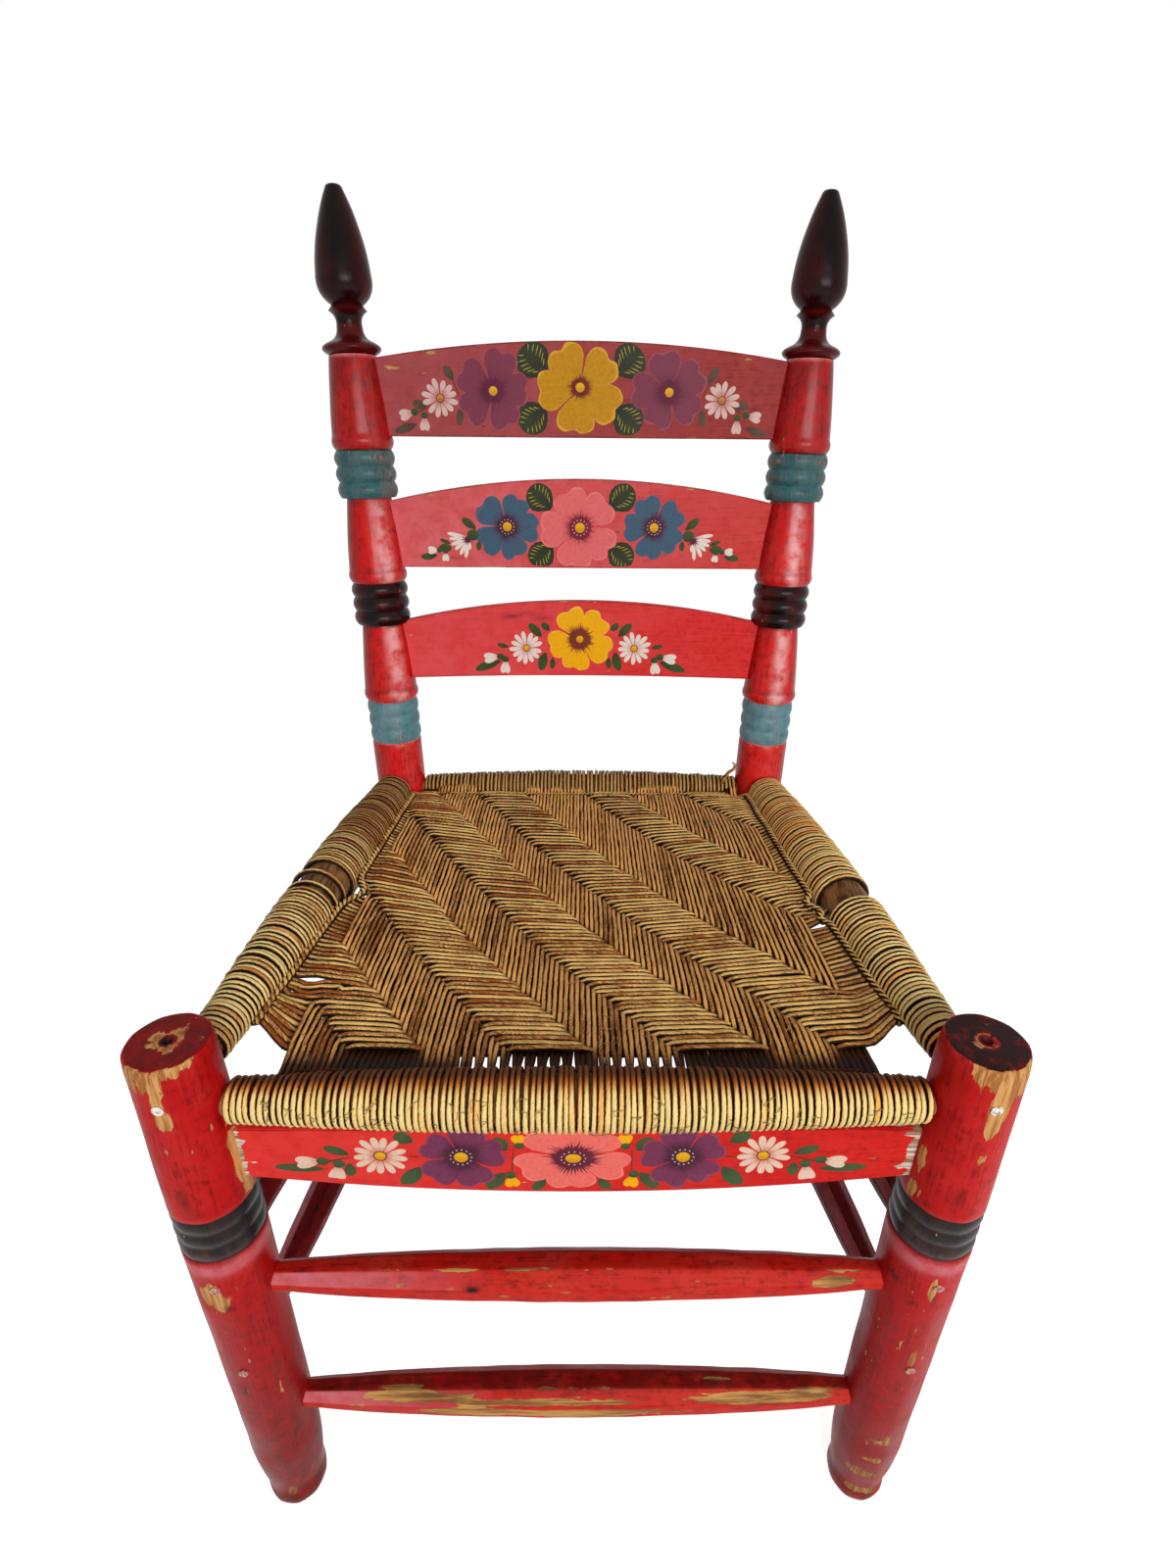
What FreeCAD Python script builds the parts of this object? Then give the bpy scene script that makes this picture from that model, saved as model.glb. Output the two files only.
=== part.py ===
import FreeCAD, Part
import math
import os

from collections import namedtuple
from FreeCAD import Placement, Rotation, Vector

# Ladder-back side chair with turned posts and a seat woven of cord. Millimetres, +Z up. The chair faces -Y,
# and +X is the right hand of someone looking at its front. The origin is on the floor, mid-box.

# Front legs: turned, nearly upright
front_leg_height = 445.0
front_top_half_gap = 214.8
front_foot_half_gap = 212.4
leg_top_radius = 22.3
leg_rim_round = 2.0
leg_shoulder_radius = 22.9
leg_shoulder_drop = 14.0
leg_band_radius = 24.8
leg_low_radius = 23.8
leg_low_height = 90.0
leg_dimple_radius = 3.2
leg_dimple_depth = 4.0
band_drop = 113.0
band_height = 34.0
band_groove_depth = 1.3

# Feet, the same under all four
foot_sole_radius = 10.5
foot_bulb_radius = 20.3
foot_bulb_height = 20.0
foot_waist_radius = 20.6
foot_waist_rise = 13.0
foot_overrun = 3.0

# Rear posts: one turned blank each, from foot to finial tip, leaning back and outwards
post_foot_half_gap = 161.3
post_top_half_gap = 182.9
post_foot_setback = 346.2
post_top_setback = 399.0
post_radius = 22.2
post_low_height = 120.0

# Stacks of rings on the posts and the vase above each, lowest first
rings_rise = 52.0
ring_count = 3
ring_heights = (38.5, 35.0, 36.5)
ring_radii = (22.8, 23.9, 24.3)
ring_groove_depths = (1.4, 2.2, 2.2)
vase_lengths = (69.2, 68.8, 68.0)
vase_belly_radii = (23.2, 23.8, 23.8)
vase_belly_rise = 10.5
vase_top_radius = 18.2

# Collar, neck, disc and flame on top of each post, each rise counted from the one before
collar_height = 9.5
collar_radius = 22.6
collar_edge_radius = 17.0
neck_rise = 10.5
neck_radius = 9.9
disc_rise = 10.7
disc_radius = 14.6
flame_foot_rise = 3.6
flame_foot_radius = 11.8
flame_belly_rise = 20.2
flame_belly_radius = 20.6
flame_taper_rise = 53.6
flame_shoulder_radius = 6.6
flame_tip_rise = 3.0
flame_tip_radius = 3.4

# Outline shares: how far a curve stands out from its chord, or where its middle point lies
foot_bulb_share = 0.16
foot_groove_share = 0.04
low_swell_share = 0.02
leg_shoulder_share = 0.02
leg_rim_share = 0.2
vase_side_share = 0.008
vase_foot_out_share = 0.74
vase_foot_up_share = 0.4
neck_share = 0.175
flame_foot_share = 0.16
flame_side_share = 0.046
flame_tip_share = 0.18

# Slats: flat boards let into the vases of the posts, lowest first, measured along the posts
slat_thickness = 9.0
slat_lifts = (19.1, 12.7, 10.3)
slat_end_heights = (49.7, 51.9, 55.0)
slat_rises = (20.2, 20.0, 14.4)
slat_foot_rises = (3.0, 0.0, 0.0)
slat_names = ("slat_bottom", "slat_middle", "slat_top")

# Seat rails: round, swelling towards the middle, each hung a little below the leg's top or the side rails
side_rail_drop = 29.0
front_rail_drop = 13.6
back_rail_drop = 5.5
side_rail_radius = 17.5
front_rail_radius = 13.9
back_rail_radius = 13.2
rail_tenon_radius = 8.3
side_rail_shares = (0.08, 0.34, 0.66, 0.87, 0.98, 1.0, 0.93, 0.77, 0.52)
end_rail_shares = (0.04, 0.42, 0.74, 0.93, 1.0, 0.93, 0.74, 0.42, 0.04)

# Cord wound round the rails and woven between them
cord_diameter = 3.8
cord_pitch = 3.65
rib_depth_share = 0.3
rib_flank_share = 0.3
panel_thickness = 8.0
panel_sag = 10.0
panel_side_rise = 6.5
panel_stations = 4
corner_hole_width = 18.0
corner_hole_depth = 52.0
corner_hole_skew = 8.0
rear_corner_hole = 6.0

# Apron under the front rail
apron_thickness = 12.0
apron_lead = 4.0
apron_gap = 1.0
apron_end_depth = 34.4
apron_middle_depth = 50.9

# Stretchers: eight-sided, swelling at the middle, each hung below the seat rail above it
front_stretcher_drops = (152.9, 284.4)
side_stretcher_drops = (142.0, 228.0)
rear_stretcher_drop = 179.5
front_stretcher_width = 28.4
side_stretcher_width = 25.0
stretcher_end_width = 16.0
stretcher_tenon_radius = 7.0
stretcher_housing = 3.0
stretcher_facets = 8
stretcher_width_shares = (0.0, 0.58, 0.88, 1.0, 0.88, 0.58, 0.0)

# Nails through the fronts of the legs into the tenons of the side rails and side stretchers
rail_nail_rise = 4.0
nail_shank_radius = 1.3
nail_head_radius = 3.1
nail_head_thickness = 1.4
nail_head_proud = 0.5
nail_length = 47.0

# Fits
tenon_web = 0.7
tenon_clearance = 0.1
nail_clearance = 0.05
seat_gap = 0.3
wrap_end_gap = 0.5

# What follows from the sizes above. Tenons stop short of an upright's axis by more than their own radius, so
# that two of them never meet inside it.
tenon_stop = rail_tenon_radius + tenon_web
side_rail_height = front_leg_height - side_rail_drop
front_rail_height = side_rail_height - front_rail_drop
back_rail_height = side_rail_height - back_rail_drop
band_top = front_leg_height - band_drop
band_bottom = band_top - band_height
collar_bottom = back_rail_height + rings_rise + sum(ring_heights) + sum(vase_lengths)
flame_length = flame_foot_rise + flame_belly_rise + flame_taper_rise + flame_tip_rise
post_length = collar_bottom + collar_height + neck_rise + disc_rise + flame_length
post_spread = post_top_half_gap - post_foot_half_gap
post_lean = post_top_setback - post_foot_setback
post_top_height = math.sqrt(post_length ** 2 - post_spread ** 2 - post_lean ** 2)
apron_top = front_rail_height - front_rail_radius - seat_gap - cord_diameter - apron_gap

# Each upright's row and side, and the pair of uprights that each side of the chair spans
UPRIGHTS = {
    "front_leg_left": ("front", -1),
    "front_leg_right": ("front", 1),
    "rear_post_left": ("rear", -1),
    "rear_post_right": ("rear", 1),
}
SPANS = {
    "front": ("front_leg_left", "front_leg_right"),
    "back": ("rear_post_left", "rear_post_right"),
    "left": ("front_leg_left", "rear_post_left"),
    "right": ("front_leg_right", "rear_post_right"),
}
RAIL_SIZES = {
    "front": (front_rail_height, front_rail_radius, end_rail_shares),
    "back": (back_rail_height, back_rail_radius, end_rail_shares),
    "left": (side_rail_height, side_rail_radius, side_rail_shares),
    "right": (side_rail_height, side_rail_radius, side_rail_shares),
}
Rail = namedtuple("Rail", "span height middle_radius shares")


# Outlines

def flat(point):
    """A radius and a height as a point of the XZ half plane."""
    return Vector(point[0], 0, point[1])


def line(start, end):
    return Part.LineSegment(flat(start), flat(end)).toShape()


def lines(points):
    """Straight edges from each point to the next."""
    return [line(before, after) for before, after in zip(points, points[1:])]


def curve(start, end, share):
    """An arc that stands out from its chord by a share of the chord's length, to the right of its way."""
    along = flat(end) - flat(start)
    middle = (flat(start) + flat(end)) * 0.5 + Vector(along.z, 0, -along.x) * share
    return Part.Arc(flat(start), middle, flat(end)).toShape()


def arc_through(start, middle, end):
    return Part.Arc(flat(start), flat(middle), flat(end)).toShape()


def bowed(start, end, rise):
    """An edge between two points, bowed upwards at its middle, or straight where the rise is none."""
    if not rise:
        return Part.LineSegment(start, end).toShape()
    return Part.Arc(start, (start + end) * 0.5 + Vector(0, 0, rise), end).toShape()


def turned(edges):
    """A solid of revolution about Z from an outline that starts and ends on the axis."""
    closing = Part.LineSegment(edges[-1].Vertexes[-1].Point, edges[0].Vertexes[0].Point).toShape()
    face = Part.Face(Part.Wire(Part.__sortEdges__(edges + [closing])))
    return face.revolve(Vector(0, 0, 0), Vector(0, 0, 1), 360)


def on_axis(shape, foot, top):
    """Turns a shape made along Z onto the line from foot to top."""
    moved = shape.copy()
    moved.Placement = Placement(foot, Rotation(Vector(0, 0, 1), top - foot))
    return moved


# Where the uprights stand

def axis_point(upright, height):
    """The point of a leg's or post's axis at a height above the floor."""
    row, side = UPRIGHTS[upright]
    if row == "front":
        spread = front_top_half_gap - front_foot_half_gap
        return Vector(side * (front_foot_half_gap + spread * height / front_leg_height), 0, height)
    share = height / post_top_height
    out = post_foot_half_gap + post_spread * share
    return Vector(side * out, post_foot_setback + post_lean * share, height)


def leg_radius(height):
    """Distance from a front leg's axis to its surface at a height above its lowest swell."""
    stretches = (
        (leg_low_height, leg_low_radius, band_bottom, leg_band_radius),
        (band_bottom, leg_band_radius, band_top, leg_band_radius),
        (band_top, leg_band_radius, front_leg_height - leg_shoulder_drop, leg_shoulder_radius),
    )
    for low, low_radius, high, high_radius in stretches:
        if height <= high:
            return low_radius + (high_radius - low_radius) * (height - low) / (high - low)
    return leg_shoulder_radius


def upright_radius(upright, height):
    row, _ = UPRIGHTS[upright]
    return leg_radius(height) if row == "front" else post_radius


def span_points(span, height):
    """The two ends of a stick's axis, on the axes of the uprights that it spans."""
    start, end = SPANS[span]
    return axis_point(start, height), axis_point(end, height)


def span_radii(span, height):
    start, end = SPANS[span]
    return upright_radius(start, height), upright_radius(end, height)


def shortened(start, end, start_cut, end_cut):
    """The two ends of a line after a length is taken off each."""
    along = (end - start).normalize()
    return start + along * start_cut, end - along * end_cut


# Turned uprights

def foot_outline():
    """The foot's edges, from a sole that starts low and is cut off flat later, up to the waist."""
    sole = (foot_sole_radius, -foot_overrun)
    bulb = (foot_bulb_radius, foot_bulb_height)
    waist = (foot_waist_radius, foot_bulb_height + foot_waist_rise)
    edges = [line((0, -foot_overrun), sole), curve(sole, bulb, foot_bulb_share)]
    edges.append(curve(bulb, waist, -foot_groove_share))
    return edges, waist


def beads(radius, groove, bottom, height):
    """A stack of rounded rings, from the bottom up."""
    step = height / ring_count
    edges = []
    for index in range(ring_count):
        low = bottom + index * step
        crest = (radius, low + step / 2)
        edges.append(arc_through((radius - groove, low), crest, (radius - groove, low + step)))
    return edges


def leg_solid():
    """A front leg along Z, before its mortises are cut."""
    edges, waist = foot_outline()
    groove_radius = leg_band_radius - band_groove_depth
    low = (leg_low_radius, leg_low_height)
    lip = (leg_band_radius, band_bottom - band_groove_depth)
    upper_lip = (leg_band_radius, band_top + band_groove_depth)
    shoulder = (leg_shoulder_radius, front_leg_height - leg_shoulder_drop)
    rim = (leg_top_radius, front_leg_height - leg_rim_round)
    top = (leg_top_radius - leg_rim_round, front_leg_height)
    edges += [curve(waist, low, low_swell_share)] + lines([low, lip, (groove_radius, band_bottom)])
    edges += beads(leg_band_radius, band_groove_depth, band_bottom, band_height)
    edges += lines([(groove_radius, band_top), upper_lip, shoulder])
    edges += [curve(shoulder, rim, leg_shoulder_share), curve(rim, top, leg_rim_share)]
    edges.append(line(top, (0, front_leg_height)))
    dimple_foot = Vector(0, 0, front_leg_height - leg_dimple_depth)
    dimple = Part.makeCone(0, leg_dimple_radius, leg_dimple_depth, dimple_foot)
    return turned(edges).cut(dimple)


def vase(foot, belly_radius, length):
    """One swelling length of a post, from its foot on a stack of rings to its narrow top."""
    belly = (belly_radius, foot[1] + vase_belly_rise)
    top = (vase_top_radius, foot[1] + length)
    out = foot[0] + (belly_radius - foot[0]) * vase_foot_out_share
    middle = (out, foot[1] + vase_belly_rise * vase_foot_up_share)
    return [arc_through(foot, middle, belly), curve(belly, top, vase_side_share)], top


def finial(start):
    """The collar, neck, disc and flame on top of a post."""
    collar_top = collar_bottom + collar_height
    under = (collar_edge_radius, collar_bottom)
    over = (collar_edge_radius, collar_top)
    collar = (collar_radius, collar_bottom + collar_height / 2)
    neck = (neck_radius, collar_top + neck_rise)
    disc = (disc_radius, neck[1] + disc_rise)
    foot = (flame_foot_radius, disc[1] + flame_foot_rise)
    belly = (flame_belly_radius, foot[1] + flame_belly_rise)
    shoulder = (flame_shoulder_radius, belly[1] + flame_taper_rise)
    tip = (flame_tip_radius, post_length)
    edges = [line(start, under), arc_through(under, collar, over)]
    edges += [curve(over, neck, -neck_share), curve(neck, disc, -neck_share), line(disc, foot)]
    edges += [curve(foot, belly, flame_foot_share), curve(belly, shoulder, flame_side_share)]
    edges += [curve(shoulder, tip, flame_tip_share), line(tip, (0, post_length))]
    return edges


def post_solid():
    """A rear post along Z, foot to finial tip, before its mortises are cut."""
    edges, waist = foot_outline()
    low = (post_radius, post_low_height)
    height = back_rail_height + rings_rise
    last = (post_radius, height - ring_groove_depths[0])
    edges += [curve(waist, low, low_swell_share), line(low, last)]
    stacks = zip(ring_heights, ring_radii, ring_groove_depths, vase_belly_radii, vase_lengths)
    for ring_height, ring_radius, groove, belly_radius, vase_length in stacks:
        edges.append(line(last, (ring_radius - groove, height)))
        edges += beads(ring_radius, groove, height, ring_height)
        height += ring_height
        vase_edges, last = vase((ring_radius - groove, height), belly_radius, vase_length)
        edges += vase_edges
        height += vase_length
    return turned(edges + finial(last))


def trimmed_at_floor(shape):
    """Cuts off what would reach below the floor, so that the foot stands flat."""
    size = 4 * post_radius
    corner = Vector(shape.BoundBox.Center.x - size, shape.BoundBox.Center.y - size, -size)
    return shape.cut(Part.makeBox(2 * size, 2 * size, size, corner))


def without(solid, cutters):
    """A solid with every cutter that comes near it cut away."""
    for cutter in cutters:
        if solid.BoundBox.intersect(cutter.BoundBox):
            solid = solid.cut(cutter)
    return solid


def uprights(cutters):
    """The two front legs and the two rear posts, with every mortise and nail hole cut."""
    blanks = {"front": (leg_solid(), front_leg_height), "rear": (post_solid(), post_top_height)}
    made = {}
    for name, (row, _) in UPRIGHTS.items():
        blank, height = blanks[row]
        standing = on_axis(blank, axis_point(name, 0), axis_point(name, height))
        made[name] = without(trimmed_at_floor(standing), cutters)
    return made


# Round seat rails and the cord wound round them

def between(shares, place):
    """The value of an evenly spaced table of shares at a place from 0 to 1."""
    spot = min(max(place, 0), 1) * (len(shares) - 1)
    index = min(int(spot), len(shares) - 2)
    return shares[index] + (shares[index + 1] - shares[index]) * (spot - index)


def stations(count):
    return [index / count for index in range(count + 1)]


def rail_profile(rail):
    """The wood's radius and distance from the first upright's axis, at steps along the bare length."""
    start, end = span_points(rail.span, rail.height)
    start_radius, end_radius = span_radii(rail.span, rail.height)
    bare_length = (end - start).Length - start_radius - end_radius
    profile = []
    for place in stations(2 * len(rail.shares) - 2):
        swell = (rail.middle_radius - rail_tenon_radius) * between(rail.shares, place)
        profile.append((rail_tenon_radius + swell, start_radius + bare_length * place))
    return profile


def round_rail(rail, grow):
    """A swelling round rail with its round tenons; grow makes it a cutter or an envelope."""
    start, end = span_points(rail.span, rail.height)
    first = tenon_stop - grow
    last = (end - start).Length - tenon_stop + grow
    profile = [(radius + grow, distance) for radius, distance in rail_profile(rail)]
    ends = [(rail_tenon_radius + grow, first), (rail_tenon_radius + grow, profile[0][1])]
    far_ends = [(rail_tenon_radius + grow, profile[-1][1]), (rail_tenon_radius + grow, last)]
    return on_axis(turned(lines([(0, first)] + ends + profile + far_ends + [(0, last)])), start, end)


def clear_of(upright, height, direction, reach):
    """How far from an upright's axis the flat end of a sleeve of radius reach stands clear of it."""
    lean = (axis_point(upright, height) - axis_point(upright, 0)).normalize()
    sine = abs(lean.dot(direction))
    return (upright_radius(upright, height) + wrap_end_gap + reach * sine) / math.sqrt(1 - sine ** 2)


def wood_radius(profile, distance):
    """A rail's radius at a distance from the first upright's axis."""
    place = (distance - profile[0][1]) / (profile[-1][1] - profile[0][1])
    return between([radius for radius, _ in profile], place)


def wrap(rail):
    """The cord wound round a rail, one rib to a turn, over the rail's whole bare length."""
    start, end = span_points(rail.span, rail.height)
    direction = (end - start).normalize()
    profile = rail_profile(rail)
    cord_out = seat_gap + cord_diameter
    first_upright, last_upright = SPANS[rail.span]
    low = clear_of(first_upright, rail.height, direction, profile[0][0] + cord_out)
    high = (end - start).Length - clear_of(last_upright, rail.height, direction, profile[-1][0] + cord_out)
    turns = int((high - low) / cord_pitch)
    pitch = (high - low) / turns
    outer = []
    for index in range(turns):
        turn_low = low + index * pitch
        crest = wood_radius(profile, turn_low + pitch / 2) + cord_out
        valley = crest - cord_diameter * rib_depth_share
        outer += [(valley, turn_low), (crest, turn_low + pitch * rib_flank_share)]
        outer.append((crest, turn_low + pitch * (1 - rib_flank_share)))
    outer.append((valley, high))
    bore = [low + (high - low) * place for place in stations(2 * len(rail.shares) - 2)]
    inner = [(wood_radius(profile, distance) + seat_gap, distance) for distance in bore]
    ring = outer + inner[::-1]
    face = Part.Face(Part.Wire(lines(ring + ring[:1])))
    return on_axis(face.revolve(Vector(0, 0, 0), Vector(0, 0, 1), 360), start, end)


def sheet(reach, taper, depth):
    """The hanging sheet: level at the front and back rolls, sagging between them, higher at the sides."""
    rows = []
    for row in range(panel_stations + 1):
        y = depth * row / panel_stations
        slack = math.sin(math.pi * row / panel_stations)
        points = []
        for column in range(-panel_stations, panel_stations + 1):
            across = column / panel_stations
            height = slack * (panel_side_rise * across ** 2 - panel_sag * (1 - across ** 2))
            points.append(Vector(across * (reach - taper * y), y, height - panel_thickness / 2))
        rows.append(points)
    surface = Part.BSplineSurface()
    surface.interpolate(rows)
    return surface.toShape().extrude(Vector(0, 0, panel_thickness))


def panel(envelopes):
    """The woven sheet between the wound rails, open at its corners as the weave is."""
    front = axis_point("front_leg_right", side_rail_height)
    rear = axis_point("rear_post_right", side_rail_height)
    taper = (front.x - rear.x) / rear.y
    edge_x = front.x - rail_tenon_radius
    hole_x = front.x - leg_band_radius - corner_hole_width
    rear_hole_x = rear.x - post_radius - rear_corner_hole
    rear_hole_y = rear.y - post_radius - rear_corner_hole
    right = [(hole_x, rail_tenon_radius), (hole_x, corner_hole_depth - corner_hole_skew)]
    right += [(edge_x - taper * y, y) for y in (corner_hole_depth, rear_hole_y)]
    right += [(rear_hole_x, rear_hole_y), (rear_hole_x, rear.y - rail_tenon_radius)]
    outline = right + [(-x, y) for x, y in reversed(right)]
    tall = panel_sag + panel_side_rise + panel_thickness
    corners = [Vector(x, y, -tall) for x, y in outline]
    prism = Part.Face(Part.makePolygon(corners + corners[:1])).extrude(Vector(0, 0, 2 * tall))
    slab = sheet(front.x, taper, rear.y).common(prism)
    slope = math.degrees(math.atan2(back_rail_height - front_rail_height, rear.y))
    slab.rotate(Vector(0, 0, 0), Vector(1, 0, 0), slope)
    slab.translate(Vector(0, 0, front_rail_height))
    return without(slab, envelopes)


def seat_cords(rails):
    """The wound cord on each rail and the woven sheet between them, a small gap apart."""
    made = {"seat_wrap_" + rail.span: wrap(rail) for rail in rails}
    made["seat_panel"] = panel([round_rail(rail, cord_diameter + 2 * seat_gap) for rail in rails])
    return made


# Stretchers, slats and apron

def facet_ring(width, height):
    """A regular outline with flats up and down, at a height along Z."""
    half_facet = math.pi / stretcher_facets
    corner_radius = width / 2 / math.cos(half_facet)
    corners = []
    for index in range(stretcher_facets):
        angle = half_facet * (2 * index + 1)
        corners.append(Vector(corner_radius * math.cos(angle), corner_radius * math.sin(angle), height))
    return Part.makePolygon(corners + corners[:1])


def stretcher(span, height, middle_width, grow):
    """A faceted swelling stick, housed a little in each upright, with a round tenon going further in."""
    start, end = span_points(span, height)
    start_radius, end_radius = span_radii(span, height)
    housing = stretcher_housing + grow
    first, last = shortened(start, end, start_radius - housing, end_radius - housing)
    sections = []
    for place, swell in zip(stations(len(stretcher_width_shares) - 1), stretcher_width_shares):
        width = stretcher_end_width + (middle_width - stretcher_end_width) * swell
        sections.append(facet_ring(width + 2 * grow, (last - first).Length * place))
    stick = on_axis(Part.makeLoft(sections, True, True), first, last)
    tenon_first, tenon_last = shortened(start, end, tenon_stop - grow, tenon_stop - grow)
    tenon = Part.makeCylinder(stretcher_tenon_radius + grow, (tenon_last - tenon_first).Length)
    return stick.fuse(on_axis(tenon, tenon_first, tenon_last)).removeSplitter()


def stretchers(grow):
    made = {}
    for level, front_drop, side_drop in zip(("upper", "lower"), front_stretcher_drops, side_stretcher_drops):
        height = front_rail_height - front_drop
        made["stretcher_front_" + level] = stretcher("front", height, front_stretcher_width, grow)
        for span in ("left", "right"):
            height = side_rail_height - side_drop
            made["stretcher_" + span + "_" + level] = stretcher(span, height, side_stretcher_width, grow)
    height = back_rail_height - rear_stretcher_drop
    made["stretcher_rear"] = stretcher("back", height, side_stretcher_width, grow)
    return made


def slat(bottom, end_height, rise, foot_rise, grow):
    """An arched slat, let into both posts, in the leaning plane of their axes and measured along them."""
    low = bottom - grow
    high = bottom + end_height + grow
    reach = tenon_stop - grow
    low_x = post_foot_half_gap + post_spread * low / post_length - reach
    high_x = post_foot_half_gap + post_spread * high / post_length - reach
    corners = [Vector(-low_x, 0, low), Vector(low_x, 0, low)]
    corners += [Vector(high_x, 0, high), Vector(-high_x, 0, high)]
    edges = [bowed(corners[0], corners[1], foot_rise), bowed(corners[1], corners[2], 0)]
    edges += [bowed(corners[2], corners[3], rise), bowed(corners[3], corners[0], 0)]
    solid = board(edges, slat_thickness, -slat_thickness / 2, grow)
    solid.rotate(Vector(0, 0, 0), Vector(1, 0, 0), -math.degrees(math.atan2(post_lean, post_top_height)))
    solid.translate(Vector(0, post_foot_setback, 0))
    return solid


def slats(grow):
    made = {}
    height = back_rail_height + rings_rise
    sizes = zip(slat_lifts, slat_end_heights, slat_rises, slat_foot_rises)
    for name, ring_height, vase_length, size in zip(slat_names, ring_heights, vase_lengths, sizes):
        lift, end_height, rise, foot_rise = size
        height += ring_height
        made[name] = slat(height + lift, end_height, rise, foot_rise, grow)
        height += vase_length
    return made


def apron(grow):
    """The shaped board under the front rail, tenoned into both front legs."""
    half_length = axis_point("front_leg_right", apron_top).x - tenon_stop + grow
    top = apron_top + grow
    bottom = apron_top - apron_end_depth - grow
    corners = [Vector(-half_length, 0, bottom), Vector(half_length, 0, bottom)]
    corners += [Vector(half_length, 0, top), Vector(-half_length, 0, top)]
    edges = [bowed(corners[0], corners[1], apron_end_depth - apron_middle_depth)]
    edges += [bowed(before, after, 0) for before, after in zip(corners[1:], corners[2:] + corners[:1])]
    return board(edges, apron_thickness, -apron_lead, grow)


def board(outline, thickness, face, grow):
    """A board from an outline in the XZ plane, its front face at the given place along Y."""
    solid = Part.Face(Part.Wire(outline)).extrude(Vector(0, thickness + 2 * grow, 0))
    solid.translate(Vector(0, face - grow, 0))
    return solid


def sticks(rails, grow):
    """Every piece that is let into the uprights, or with grow the cutters of their mortises."""
    made = {"seat_rail_" + rail.span: round_rail(rail, grow) for rail in rails}
    made.update(stretchers(grow))
    made.update(slats(grow))
    made["front_apron"] = apron(grow)
    return made


# Nails

def nail(upright, height, grow):
    """A nail from the front of a leg into the tenon behind it."""
    start = axis_point(upright, height) - Vector(0, leg_radius(height) + nail_head_proud, 0)
    head = Part.makeCylinder(nail_head_radius + grow, nail_head_thickness + grow, start, Vector(0, 1, 0))
    shank = Part.makeCylinder(nail_shank_radius + grow, nail_length + grow, start, Vector(0, 1, 0))
    return head.fuse(shank)


def nails(grow):
    heights = [side_rail_height + rail_nail_rise] + [side_rail_height - drop for drop in side_stretcher_drops]
    legs = [name for name, (row, _) in UPRIGHTS.items() if row == "front"]
    return [nail(leg, height, grow) for leg in legs for height in heights]


# The whole chair

def build():
    rails = [Rail(span, *sizes) for span, sizes in RAIL_SIZES.items()]
    nail_holes = nails(nail_clearance)
    parts = uprights(list(sticks(rails, tenon_clearance).values()) + nail_holes)
    for name, solid in sticks(rails, 0).items():
        parts[name] = without(solid, nail_holes)
    parts.update(seat_cords(rails))
    parts["tenon_nails"] = Part.makeCompound(nails(0))
    box = Part.makeCompound(list(parts.values())).optimalBoundingBox(False)
    for shape in parts.values():
        shape.translate(Vector(0, -box.Center.y, 0))
    print("box", [round(length, 2) for length in (box.XLength, box.YLength, box.ZLength)])
    print("front leg axes at y", round(-box.Center.y, 3))
    return parts


def report(name, shape):
    box = shape.optimalBoundingBox(False)
    low = [round(value, 1) for value in (box.XMin, box.YMin, box.ZMin)]
    high = [round(value, 1) for value in (box.XMax, box.YMax, box.ZMax)]
    print(name, len(shape.Solids), "solids, valid", shape.isValid(), "volume", round(shape.Volume), low, high)


os.makedirs("parts", exist_ok=True)
for part_name, part_shape in build().items():
    report(part_name, part_shape)
    part_shape.exportStep(os.path.join("parts", part_name + ".step"))
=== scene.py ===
# %% [markdown]
# # A painted ladder-back side chair
# Four turned uprights, joined by round and faceted sticks, three arched slats and an apron, all painted red, with
# rings in teal and black, sprays of flowers on the boards and a seat woven of twisted cord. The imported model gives
# every piece at its true size and place. Here each gets the shape, paint, wear and weave that make it look real.

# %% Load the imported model
import math
import random

import bmesh
import bpy
from mathutils import Matrix, Vector, noise


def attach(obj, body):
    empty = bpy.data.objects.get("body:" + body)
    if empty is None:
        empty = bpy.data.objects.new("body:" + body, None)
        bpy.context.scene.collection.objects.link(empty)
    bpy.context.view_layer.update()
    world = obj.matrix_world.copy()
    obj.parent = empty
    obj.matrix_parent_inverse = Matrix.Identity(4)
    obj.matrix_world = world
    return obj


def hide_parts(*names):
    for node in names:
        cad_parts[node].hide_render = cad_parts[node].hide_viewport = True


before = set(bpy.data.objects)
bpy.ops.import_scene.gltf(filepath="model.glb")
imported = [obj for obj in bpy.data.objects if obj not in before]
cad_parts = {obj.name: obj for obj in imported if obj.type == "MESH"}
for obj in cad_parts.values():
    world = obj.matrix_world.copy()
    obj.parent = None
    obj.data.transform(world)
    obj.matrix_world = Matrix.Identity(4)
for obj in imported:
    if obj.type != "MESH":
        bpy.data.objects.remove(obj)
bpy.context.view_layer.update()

# %% [markdown]
# ## Camera
# The picture is taken from close in front, above the seat, with a wide lens: legs and posts lean strongly. A camera
# is a data block with a lens, and an object that carries it. Its turn is given as three plain angles.

# %% Camera
CAMERA_PLACE = (-0.00063, -0.50607, 0.746)
CAMERA_TURN = (64.024, -0.468, -0.454)
LENS = 18.0
SENSOR = 36.0

camera_data = bpy.data.cameras.new("camera")
camera_data.lens = LENS
camera_data.sensor_width = SENSOR
camera = bpy.data.objects.new("camera", camera_data)
camera.location = CAMERA_PLACE
camera.rotation_euler = [math.radians(angle) for angle in CAMERA_TURN]
bpy.context.scene.collection.objects.link(camera)
bpy.context.scene.camera = camera
bpy.context.scene.view_settings.view_transform = "Standard"
print("camera at", CAMERA_PLACE, "lens", LENS)

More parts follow.
